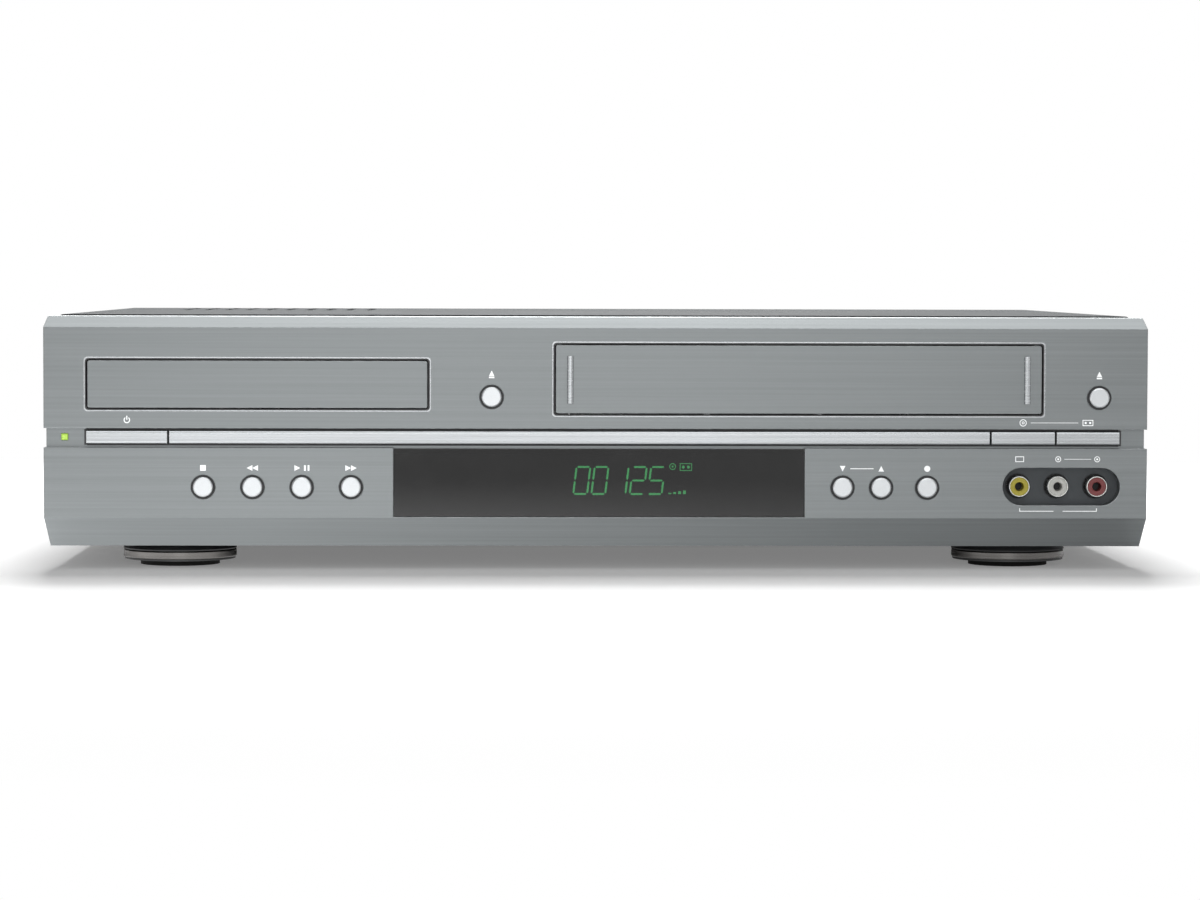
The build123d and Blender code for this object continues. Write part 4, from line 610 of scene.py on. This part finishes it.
def lathe(bm, profile, centre, axis, count):
    """Turns a profile of (radius, distance along the axis) pairs about the Y or Z axis through centre.

    A profile that starts on the axis makes a solid form; any other is closed on itself as a ring."""
    rings = []
    for radius, along in profile:
        ring = []
        for step in range(count):
            a = tau * step / count
            side, up = radius * cos(a), radius * sin(a)
            spot = Vector((side, along, up)) if axis == "Y" else Vector((side, up, along))
            ring.append(bm.verts.new(Vector(centre) + spot))
        rings.append(ring)
    hollow = profile[0][0] > on_axis
    pairs = list(zip(rings, rings[1:])) + ([(rings[-1], rings[0])] if hollow else [])
    for low, high in pairs:
        for step in range(count):
            after = (step + 1) % count
            bm.faces.new((low[step], low[after], high[after], high[step]))
    if not hollow:
        bm.faces.new(rings[0])
        bm.faces.new(rings[-1])


def turned(name, profile, centre, look, slot=None, replaced=None, axis="Y", count=64):
    """A turned piece, smooth except at its sharp edges; it may stand in for a frame node."""
    made = piece(name, lambda bm: lathe(bm, profile, centre, axis, count), look, slot, replaced)
    for polygon in made.data.polygons:
        polygon.use_smooth = True
    made.data.set_sharp_from_angle(angle=radians(35.0))
    return made


# ==================== feet
foot_r = 22.5 * mm
foot_band_z = (2.9 * mm, 6.1 * mm)


def turned_feet():
    """Four feet: a dark moulded body with a plated band let into its side."""
    low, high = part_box("feet")
    places = [(x, y) for x in (low.x + foot_r, high.x - foot_r) for y in (low.y + foot_r, high.y - foot_r)]
    edge_r, groove_r = foot_r - 0.6 * mm, foot_r - 1.4 * mm
    groove_low, groove_high = foot_band_z
    body_profile = [
        (on_axis, low.z), (foot_r - 3 * mm, low.z), (edge_r, low.z + 0.2 * mm),
        (edge_r, groove_low), (groove_r, groove_low + 0.05 * mm),
        (groove_r, groove_high), (foot_r - 0.2 * mm, groove_high + 0.1 * mm),
        (foot_r, groove_high + 0.5 * mm), (foot_r - 1.0 * mm, high.z - 0.3 * mm),
        (foot_r - 1.6 * mm, high.z), (on_axis, high.z),
    ]
    play, round_off = 0.1 * mm, 0.35 * mm
    band_low, band_high = groove_low + play, groove_high - play
    back_r, side_r, front_r = foot_r - 1.3 * mm, foot_r - 0.5 * mm, foot_r - 0.15 * mm
    band_profile = [
        (back_r, band_low), (side_r, band_low), (front_r, band_low + round_off),
        (front_r, band_high - round_off), (side_r, band_high), (back_r, band_high),
    ]
    for number, (x, y) in enumerate(places, 1):
        for name, profile in (("foot_body", body_profile), ("foot_band", band_profile)):
            look = "foot_plastic" if name == "foot_body" else "foot_band"
            turned(f"{name}_{number}", profile, (x, y, 0), look, "foot_plastic", "feet", "Z", 96)


turned_feet()


# ==================== sockets
barrel_r = 4.15 * mm
barrel_wall = 0.55 * mm
insert_bore = 1.7 * mm
bore_plug = 1.2 * mm                      # the dark wall that ends the bore


def phono_socket(name, x, z, tip, root, insert, node):
    """A plated barrel with a coloured insert and a dark bore, from its tip to its root along Y."""
    inward = 1 if root > tip else -1
    inner = barrel_r - barrel_wall
    length = abs(root - tip)

    def along(depth):
        return tip + inward * depth

    end, face = along(length), along(0.3 * mm)
    plug = along(length - bore_plug)
    barrel = [(barrel_r, face), (barrel_r - 0.25 * mm, along(0)), (inner + 0.1 * mm, along(0)),
              (inner, along(0.15 * mm)), (inner, end), (barrel_r, end)]
    ring = [(inner, along(0.45 * mm)), (inner - 0.15 * mm, face), (insert_bore + 0.25 * mm, face),
            (insert_bore, along(0.6 * mm)), (insert_bore, end), (inner, end)]
    bore = [(on_axis, plug), (insert_bore, plug), (insert_bore, end), (on_axis, end)]
    for ending, profile, look in (("_barrel", barrel, "plated_steel"), ("_insert", ring, insert),
                                  ("_bore", bore, "black_plastic")):
        turned(name + ending, profile, (x, 0, z), look, look, node)


def socket_body(name, low, high, replaced):
    """The black moulding behind a front socket, a box with softened edges."""
    def draw(bm):
        matrix = Matrix.Translation((low + high) / 2) @ Matrix.Diagonal(high - low).to_4x4()
        bmesh.ops.create_cube(bm, size=1.0, matrix=matrix)
        bmesh.ops.bevel(bm, geom=bm.edges[:], offset=0.4 * mm, segments=2, affect="EDGES")
    piece(name, draw, "black_plastic", None, replaced)


def front_sockets():
    """The picture socket and the two sound sockets in the recess."""
    plate_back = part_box("jack_plate")[1].y
    inserts = (("video_socket", "socket_yellow"), ("left_audio_socket", "socket_white"),
               ("right_audio_socket", "socket_red"))
    for node, insert in inserts:
        low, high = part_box(node)
        phono_socket(node, (low.x + high.x) / 2, (low.z + high.z) / 2, low.y, plate_back, insert, node)
        socket_body(node + "_body", Vector((low.x, plate_back, low.z)), high, node)


def rear_sockets():
    """Two rows of phono sockets and two threaded aerial sockets, where the mounts say."""
    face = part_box("rear_jack_block")[1].y
    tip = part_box("rear_sockets")[1].y
    colours = ("socket_yellow", "socket_white", "socket_red")
    for mount in frame["record"]["mounts"]:
        name, place = mount["name"], Vector(mount["pos_m"])
        if name.startswith("rear_phono"):
            column = int(name.split("_")[2])
            phono_socket(name, place.x, place.z, tip, face, colours[column - 1], "rear_sockets")
        elif name.startswith("aerial"):
            aerial_socket(name, place)


def aerial_socket(name, place):
    """A threaded barrel with a white insulator and a small dark bore."""
    root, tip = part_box("tuner_box")[1].y, place.y + 3.5 * mm
    crest, pitch, lead = 4.7 * mm, 0.8 * mm, 0.3 * mm
    valley, inner, hole = crest - 0.4 * mm, 3.4 * mm, 0.7 * mm
    threads = int((tip - root - pitch) / pitch)
    barrel = [(valley, root)]
    for turn in range(threads):
        start = root + lead + turn * pitch
        barrel += [(valley, start), (crest, start + pitch / 2)]
    barrel += [(valley, root + lead + threads * pitch), (crest - 0.6 * mm, tip), (inner, tip), (inner, root)]
    sunk = tip - 0.6 * mm
    insulator = [(inner, root), (inner, sunk), (0.9 * mm, sunk), (hole, tip - 1.4 * mm), (hole, root)]
    for ending, profile, look in (("_barrel", barrel, "plated_steel"),
                                  ("_insulator", insulator, "socket_white")):
        turned(name + ending, profile, (place.x, 0, place.z), look, look, "rear_sockets")


front_sockets()
rear_sockets()


# ==================== painted highlights and painted shade round the doors
flap_top = 87.56 * mm                     # the upper edge of the flap's flat face
trim_inset = 5.6 * mm - 1.2 * mm          # from a bright trim to the side edge of that face


def rounded_points(x_low, x_high, z_low, z_high, radius, count=6):
    """The outline of an upright rectangle with round corners."""
    corners = ((x_high - radius, z_high - radius, 0), (x_low + radius, z_high - radius, 90),
               (x_low + radius, z_low + radius, 180), (x_high - radius, z_low + radius, 270))
    return [spot for x, z, start in corners for spot in arc_points(x, z, radius, start, start + 90, count)]


def door_edge_highlights_and_shade():
    """Painted highlight: a light rim on the fascia round each door; painted shade: a black band in the gap
    inside it.
    """
    gap, highlight_width, shade_width, corner, proud = 0.95 * mm, 0.5 * mm, 0.5 * mm, 1.3 * mm, 0.05 * mm
    # The bright rim is a painted highlight, the black band painted shade in the gap.
    bands = (("_rim", (gap + highlight_width, gap), "bright_silver"), ("_lip", (gap, gap - shade_width), "black_plastic"))
    for node in ("tray_door", "cassette_flap"):
        low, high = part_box(node)
        flat_low, flat_high = (low.x, low.z), (high.x, high.z)
        if node == "cassette_flap":
            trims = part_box("flap_trims")
            flat_low = (trims[0].x - trim_inset, low.z)
            flat_high = (trims[1].x + trim_inset, flap_top)
        for ending, grown, look in bands:
            outer, inner = (rounded_points(flat_low[0] - grow, flat_high[0] + grow, flat_low[1] - grow,
                                           flat_high[1] + grow, corner) for grow in grown)
            piece(node + ending, lambda bm: raise_band(bm, outer, inner, front_y, proud), look)


door_edge_highlights_and_shade()


# ==================== painted shade in the gaps round the bars and round keys
def groove_shadows():
    """Painted shadow: black strips laid in the groove round the row of bars where its shade falls: deep above
    and below, shallow at its ends.
    """
    bars = sorted((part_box(node) for node in ("power_key", "trim_bar", "disc_select_key", "tape_select_key")),
                  key=lambda box: box[0].x)
    z_low, z_high = bars[1][0].z, bars[1][1].z
    left, right = bars[0][0].x, bars[-1][1].x
    deep, shallow, play = front_y + 2.5 * mm, front_y + 0.8 * mm, 0.05 * mm
    above, below, beside, raised = 0.85 * mm, 0.7 * mm, 0.9 * mm, 0.3 * mm
    end_low, end_high = z_low - 0.4 * mm, z_high + 0.5 * mm
    shade_strips = [(left, right, z_high + play, z_high + above, deep, raised),
              (left, right, z_low - below, z_low - play, deep, raised),
              (left - beside, left - play, end_low, end_high, shallow, play),
              (right + play, right + beside, end_low, end_high, shallow, play)]

    def draw(bm):
        for x_low, x_high, low, high, floor, thick in shade_strips:
            raise_outline(bm, bar_points(x_low, x_high, low, high), floor, thick)
    # Black plastic here paints the groove's shadow round the bars.
    piece("groove_shadow", draw, "black_plastic")


def key_shade_rings():
    """Painted shade: a black ring in the hole of each round key, round its cap, standing for the shade in the
    gap between key and hole.
    """
    hole_r, cap_r, sunk, thick = 4.69 * mm, 4.03 * mm, 1.0 * mm, 0.8 * mm
    for node in ("stop_key", "rewind_key", "play_key", "forward_key", "channel_down_key", "channel_up_key",
                 "record_key", "open_close_key", "eject_key"):
        centre = middle(node)
        outer, inner = (arc_points(centre.x, centre.z, radius, count=48) for radius in (hole_r, cap_r))
        piece(node + "_ring", lambda bm: raise_band(bm, outer, inner, front_y + sunk, thick), "black_plastic")


groove_shadows()
key_shade_rings()


# ==================== screws in the rear panel
def rear_screws():
    """Pan head screws with cross recesses, which hold the panel, the sockets and the tuner."""
    low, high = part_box("rear_panel")
    jack, tuner, inlet = (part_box(node) for node in ("rear_jack_block", "tuner_box", "mains_inlet"))
    beside, inside, corner, middle_z = 6 * mm, 5 * mm, 10 * mm, (jack[0].z + jack[1].z) / 2
    places = [(jack[0].x - beside, middle_z), (jack[1].x + beside, middle_z),
              (tuner[0].x + inside, low.z + 12 * mm), (tuner[1].x - inside, low.z + 12 * mm),
              (inlet[0].x - beside, inlet[1].z + inside), (low.x + corner, low.z + 8 * mm),
              (high.x - corner, low.z + 8 * mm), (high.x - corner, high.z - 12 * mm)]
    face, head_r, head_h = high.y, 2.9 * mm, 1.7 * mm
    slot_length, slot_width, recess = 3.1 * mm, 0.65 * mm, 0.9 * mm
    top = face + head_h
    profile = [(on_axis, top), (1.5 * mm, top - 0.1 * mm), (2.4 * mm, top - 0.45 * mm),
               (head_r, face + 0.5 * mm), (head_r, face), (on_axis, face)]
    for number, (x, z) in enumerate(places, 1):
        name = f"rear_screw_{number}"
        made = turned(name, profile, (x, 0, z), "plated_steel", count=36)

        def draw_cross(bm):
            size = Matrix.Diagonal((slot_length, 2 * recess, slot_width, 1.0))
            for quarter in range(2):
                spin = Matrix.Rotation(radians(17 * number) + quarter * pi / 2, 4, "Y")
                bmesh.ops.create_cube(bm, size=1.0, matrix=Matrix.Translation((x, top, z)) @ spin @ size)
        cutter = new_object(name + "_cutter", draw_cross)
        cut = made.modifiers.new("cross", "BOOLEAN")
        cut.operation = "DIFFERENCE"
        cut.object = cutter
        cut.solver = "EXACT"
        cut.use_self = True
        bpy.context.view_layer.update()
        shaped = bpy.data.meshes.new_from_object(made.evaluated_get(bpy.context.evaluated_depsgraph_get()))
        made.modifiers.clear()
        made.data = shaped
        bpy.data.objects.remove(cutter)


rear_screws()


# ==================== printed marks on the front
ink = 0.06 * mm                           # how far the ink stands off the paint
mark_h = 2.2 * mm
lower_mark_z = 39.6 * mm
dot_sides = 12


def key_x(node):
    """The X of a key's middle."""
    return middle(node).x


def triangle(x, z, size, direction):
    """A triangle that points left, right, up or down."""
    half = size / 2
    shapes = {
        "right": [(-half, -half), (half, 0), (-half, half)],
        "left": [(half, -half), (half, half), (-half, 0)],
        "up": [(-half, -half), (half, -half), (0, half)],
        "down": [(-half, half), (0, -half), (half, half)],
    }
    return [(x + dx, z + dz) for dx, dz in shapes[direction]]


def ring_band(x, z, radius, line):
    """The outer and inner edge of a ring of one line's width."""
    return arc_points(x, z, radius), arc_points(x, z, radius - line)


def box_band(x_low, x_high, z_low, z_high, line):
    """The outer and inner edge of an upright rectangle of one line's width."""
    return (bar_points(x_low, x_high, z_low, z_high),
            bar_points(x_low + line, x_high - line, z_low + line, z_high - line))


def marks(name, outlines, bands=(), closed=True):
    """One printed mark, from filled outlines and bands."""
    def draw(bm):
        for outline in outlines:
            raise_outline(bm, outline, front_y, ink)
        for outer, inner in bands:
            raise_band(bm, outer, inner, front_y, ink, closed)
    piece(name, draw, "print_white", "bright_silver")


def transport_marks():
    """Stop, rewind, play with pause, and fast forward."""
    z, size, half, pause_w = lower_mark_z, mark_h, mark_h / 2, 0.7 * mm
    stop_x, rewind_x, play_x, forward_x = (
        key_x(key + "_key") for key in ("stop", "rewind", "play", "forward"))
    marks("mark_stop", [bar_points(stop_x - half, stop_x + half, z - half, z + half)])
    marks("mark_rewind", [triangle(rewind_x + off, z, size, "left") for off in (-half, half)])
    pause = [bar_points(play_x + off, play_x + off + pause_w, z - half, z + half)
             for off in (0.9 * mm, 2.3 * mm)]
    marks("mark_play_pause", [triangle(play_x - 1.7 * mm, z, size, "right")] + pause)
    marks("mark_forward", [triangle(forward_x + off, z, size, "right") for off in (-half, half)])


def eject_marks():
    """An eject mark over each of the two eject keys."""
    size, over_key, bar_low, bar_high, up_z = 2.1 * mm, 8.8 * mm, 1.5 * mm, 0.9 * mm, 0.4 * mm
    for node, name in (("open_close_key", "mark_open_close"), ("eject_key", "mark_eject")):
        x, z = key_x(node), middle(node).z + over_key
        bar = bar_points(x - size / 2, x + size / 2, z - bar_low, z - bar_high)
        marks(name, [triangle(x, z + up_z, size, "up"), bar])


def power_mark():
    """A broken ring with a stroke, over the power key."""
    x, z, radius, line = key_x("power_key"), 58.2 * mm, 1.25 * mm, 0.35 * mm
    outer, inner = (arc_points(x, z, r, 125, 415, 22) for r in (radius, radius - line))
    stroke = bar_points(x - line / 2, x + line / 2, z + 0.1 * mm, z + radius + 0.4 * mm)
    marks("mark_power", [stroke], [(outer, inner)], closed=False)


def channel_marks():
    """Down and up, joined by a line, and the record dot."""
    z, size, clear, half_line = lower_mark_z, mark_h, 3 * mm, 0.15 * mm
    down_x, up_x = key_x("channel_down_key"), key_x("channel_up_key")
    line = bar_points(down_x + clear, up_x - clear, z - half_line, z + half_line)
    marks("mark_channel", [triangle(down_x, z, size, "down"), triangle(up_x, z, size, "up"), line])
    marks("mark_record", [arc_points(key_x("record_key"), z, 1.2 * mm)])


def source_marks():
    """A disc and a cassette over the two source keys, joined by lines."""
    z, line = 57.6 * mm, 0.3 * mm
    disc_x, tape_x = key_x("disc_select_key"), key_x("tape_select_key")
    disc, hub = ring_band(disc_x, z, 1.4 * mm, line), ring_band(disc_x, z, 0.55 * mm, 0.25 * mm)
    half_w, half_h, reel_x, reel_r = 2.1 * mm, 1.2 * mm, 0.9 * mm, 0.45 * mm
    shell = box_band(tape_x - half_w, tape_x + half_w, z - half_h, z + half_h, line)
    reels = [arc_points(tape_x + side * reel_x, z, reel_r, count=dot_sides) for side in (-1, 1)]
    joint = bar_points(disc_x + 3 * mm, tape_x - 3.8 * mm, z - line / 3, z + line / 3)
    marks("mark_sources", [joint] + reels, [disc, hub, shell])


def socket_marks():
    """A screen over the picture socket, rings over the sound sockets and a bracket under all three."""
    z, line = 43.4 * mm, 0.28 * mm
    x, left_x, right_x = (key_x(node + "_socket") for node in ("video", "left_audio", "right_audio"))
    half_w, half_h = 1.7 * mm, 1.1 * mm
    screen = box_band(x - half_w, x + half_w, z - half_h, z + half_h, line)
    rings = [ring_band(at, z, 1.15 * mm, line) for at in (left_x, right_x)]
    dots = [arc_points(at, z, 0.4 * mm, count=dot_sides) for at in (left_x, right_x)]
    clear = 2.4 * mm
    joint = bar_points(left_x + clear, right_x - clear, z - line / 3, z + line / 3)
    marks("mark_inputs", [joint] + dots, [screen] + rings)
    low_z, tip_z = 22.9 * mm, 24.2 * mm
    top_z = low_z + line
    gap_low, gap_high = x + 13.4 * mm, x + 17 * mm
    bracket = [bar_points(x, gap_low, low_z, top_z), bar_points(gap_high, right_x, low_z, top_z),
               bar_points(x, x + line, top_z, tip_z), bar_points(right_x - line, right_x, top_z, tip_z)]
    marks("mark_bracket", bracket)


transport_marks()
eject_marks()
power_mark()
channel_marks()
source_marks()
socket_marks()


# ==================== the lit display
digit_h = 10.6 * mm
digit_w = 5.4 * mm
digit_pitch = 7.1 * mm
digit_pair_gap = 0.8 * mm                 # the extra gap behind the first two digits
segment_w = 0.75 * mm
segment_gap = 0.25 * mm
lean = 0.12
glow = 0.12 * mm                          # how far a lit segment stands off the tube
display_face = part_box("display_tube")[0].y
digits_x = -9.2 * mm
digits_z = 29.2 * mm
segments_on = {"0": "abcdef", "1": "bc", "2": "abged", "5": "afgcd"}


def segment_outline(letter, x, z):
    """The six-cornered outline of one segment of a leaning digit."""
    h, w, half, gap = digit_h, digit_w, segment_w / 2, segment_gap
    ends = {
        "a": ((0, h), (w, h)), "g": ((0, h / 2), (w, h / 2)), "d": ((0, 0), (w, 0)),
        "f": ((0, h / 2), (0, h)), "b": ((w, h / 2), (w, h)),
        "e": ((0, 0), (0, h / 2)), "c": ((w, 0), (w, h / 2)),
    }
    (x0, z0), (x1, z1) = ends[letter]
    length = max(abs(x1 - x0), abs(z1 - z0))
    ux, uz = (x1 - x0) / length, (z1 - z0) / length
    corners = []
    for along, aside in ((gap, 0), (gap + half, half), (length - gap - half, half), (length - gap, 0),
                         (length - gap - half, -half), (gap + half, -half)):
        px, pz = x0 + ux * along - uz * aside, z0 + uz * along + ux * aside
        corners.append((x + px + lean * pz, z + pz))
    return corners


def lit_digits(bm):
    """The five lit digits."""
    for place, digit in enumerate("00125"):
        x = digits_x + place * digit_pitch + (digit_pair_gap if place > 1 else 0.0)
        for letter in segments_on[digit]:
            raise_outline(bm, segment_outline(letter, x, digits_z), display_face, glow)


def lit_signs(bm):
    """A disc and a cassette beside the digits, and a row of rising bars below them."""
    x = digits_x + 5 * digit_pitch + 3.4 * mm
    z = digits_z + digit_h + 0.2 * mm
    line, half_w, reel_r = 0.3 * mm, 2.4 * mm, 0.6 * mm
    raise_band(bm, *ring_band(x, z, 1.3 * mm, line), display_face, glow)
    raise_outline(bm, arc_points(x, z, 0.4 * mm, count=dot_sides), display_face, glow)
    tape_x = x + 5.2 * mm
    shell = box_band(tape_x - half_w, tape_x + half_w, z - 1.7 * mm, z + 1.3 * mm, line)
    raise_band(bm, *shell, display_face, glow)
    for side in (-1, 1):
        reel = arc_points(tape_x + side * mm, z - 0.2 * mm, reel_r, count=dot_sides)
        raise_outline(bm, reel, display_face, glow)
    bar_w, bar_pitch, bar_h, bar_rise = 1.1 * mm, 1.9 * mm, 0.5 * mm, 0.3 * mm
    for step in range(4):
        bar_x = x - 1.6 * mm + step * bar_pitch
        bar = bar_points(bar_x, bar_x + bar_w, digits_z, digits_z + bar_h + step * bar_rise)
        raise_outline(bm, bar, display_face, glow)


piece("display_digits", lit_digits, "segment_green", "display_glass")
piece("display_signs", lit_signs, "segment_green", "display_glass")


# ==================== stage, light and camera
floor_reach = 14.0
floor_tone = 0.86
floor_lift = 0.2                          # light that the floor adds towards the camera
# Painted reflection: a glow the floor gives only to reflections in the front's paint.
painted_reflection_lift = (1.9, 0.4)                   # and towards the front's paint, from left to right
gloss_reach = 0.21                        # half the width over which that light falls off
gloss_depth = 60 * mm                     # how far behind the front's plane it ends
fade_from = 0.4                           # the distances between which paper turns into white
fade_to = 0.8
fill_strength = 0.24
ceiling_gloss = 2.0                       # light that the ceiling adds in reflections
ceiling_rise = (0.6, 0.95)                # how steeply up a reflection looks as that light comes in
white_light = (1, 1, 1, 1)


def stage_floor():
    """A plain pale floor that keeps the shadow and shows white to the camera where it is lit, with a painted
    reflection strip in front of the object.
    """
    def draw(bm):
        corners = bar_points(-floor_reach, floor_reach, -floor_reach, floor_reach)
        bm.faces.new([bm.verts.new((x, y, 0)) for x, y in corners])
    floor = new_object("floor", draw)
    material = bpy.data.materials.new("floor_white")
    net = cleared_net(material)
    paper = net.add("BsdfDiffuse", None, Color=(floor_tone, floor_tone, floor_tone, 1.0))
    rays = net.add("LightPath").outputs
    seen_directly = net.math("MULTIPLY", rays["Is Camera Ray"], floor_lift)
    # Painted reflection: a strip of floor just in front glows for first reflections only, brighter on the
    # left, as a pool of light that no lamp casts.
    place = net.place()
    spot = net.add("SeparateXYZ", None, Vector=place).outputs
    in_front = net.spread(spot["Y"], front_y, front_y + gloss_depth, 1.0, 0.0)
    gloss = net.math("MULTIPLY", in_front, net.spread(spot["X"], -gloss_reach, gloss_reach, *painted_reflection_lift))
    first_bounce = net.math("MULTIPLY", rays["Is Glossy Ray"], net.math("LESS_THAN", rays["Ray Depth"], 1.5))
    strength = net.math("ADD", seen_directly, net.math("MULTIPLY", first_bounce, gloss))
    lift = net.add("Emission", None, Color=white_light, Strength=strength)
    both = net.add("AddShader", None, n0=paper.outputs[0], n1=lift.outputs[0])
    # Far from the object the paper runs up into plain white.
    far = net.spread(net.vector("LENGTH", place)["Value"], fade_from, fade_to)
    white = net.add("Emission", None, Color=white_light, Strength=1.0)
    joined = net.add("MixShader", None, n0=far, n1=both.outputs[0], n2=white.outputs[0])
    net.add("OutputMaterial", None, Surface=joined.outputs[0])
    floor.data.materials.append(material)


def white_world():
    """White to the camera, to reflections and through glass, and a soft fill for all else."""
    world = bpy.data.worlds.new("studio")
    bpy.context.scene.world = world
    net = cleared_net(world)
    path = net.add("LightPath").outputs
    looked_at = net.math("ADD", path["Is Camera Ray"], path["Is Glossy Ray"])
    seen = net.math("ADD", looked_at, path["Is Transmission Ray"], clamp=True)
    fill = net.add("Background", None, Color=white_light, Strength=fill_strength)
    # Paint that faces half upwards mirrors a brighter ceiling.
    upward = net.add("SeparateXYZ", None, Vector=net.add("TexCoord").outputs["Generated"]).outputs["Z"]
    raised = net.spread(upward, *ceiling_rise, 0.0, ceiling_gloss)
    ceiling = net.math("MULTIPLY", path["Is Glossy Ray"], raised)
    white = net.add("Background", None, Color=white_light, Strength=net.math("ADD", ceiling, 1.0))
    mixed = net.add("MixShader", None, n0=seen, n1=fill.outputs[0], n2=white.outputs[0])
    net.add("OutputWorld", None, Surface=mixed.outputs[0])


def soft_light(name, place, target, size, power):
    """A square area lamp that points at a target."""
    lamp = bpy.data.lights.new(name, "AREA")
    lamp.shape = "SQUARE"
    lamp.size = size
    lamp.energy = power
    made = bpy.data.objects.new(name, lamp)
    made.location = place
    made.rotation_euler = (Vector(target) - Vector(place)).to_track_quat("-Z", "Y").to_euler()
    show(made)


def photo_camera():
    """The camera where the photograph was taken from."""
    aside, distance, height = -37.5 * mm, 1484.6 * mm, 114.6 * mm
    yaw, pitch, roll = radians(1.487), radians(2.615), radians(0.147)
    data = bpy.data.cameras.new("photo_camera")
    data.lens = 114.47
    data.sensor_width = 36.0
    data.clip_start = 0.05
    data.clip_end = 60.0
    camera = bpy.data.objects.new("photo_camera", data)
    turn = Matrix.Rotation(-yaw, 4, "Z") @ Matrix.Rotation(pi / 2 - pitch, 4, "X")
    place = Matrix.Translation((aside, front_y - distance, height))
    camera.matrix_world = place @ turn @ Matrix.Rotation(roll, 4, "Z")
    show(camera)
    bpy.context.scene.camera = camera


stage_floor()
white_world()
soft_light("top_light", (0.0, 1.2, 1.2), (0, -0.1, 0), 0.9, 44.0)
soft_light("near_light", (0.0, 0.24, 0.8), (0, -0.16, 0.1), 0.4, 4.2)
soft_light("key_light", (-0.05, -1.9, 0.4), (0, -0.1, 0.05), 0.8, 4.3)
photo_camera()
bpy.context.scene.view_settings.view_transform = "Standard"

bpy.context.view_layer.update()
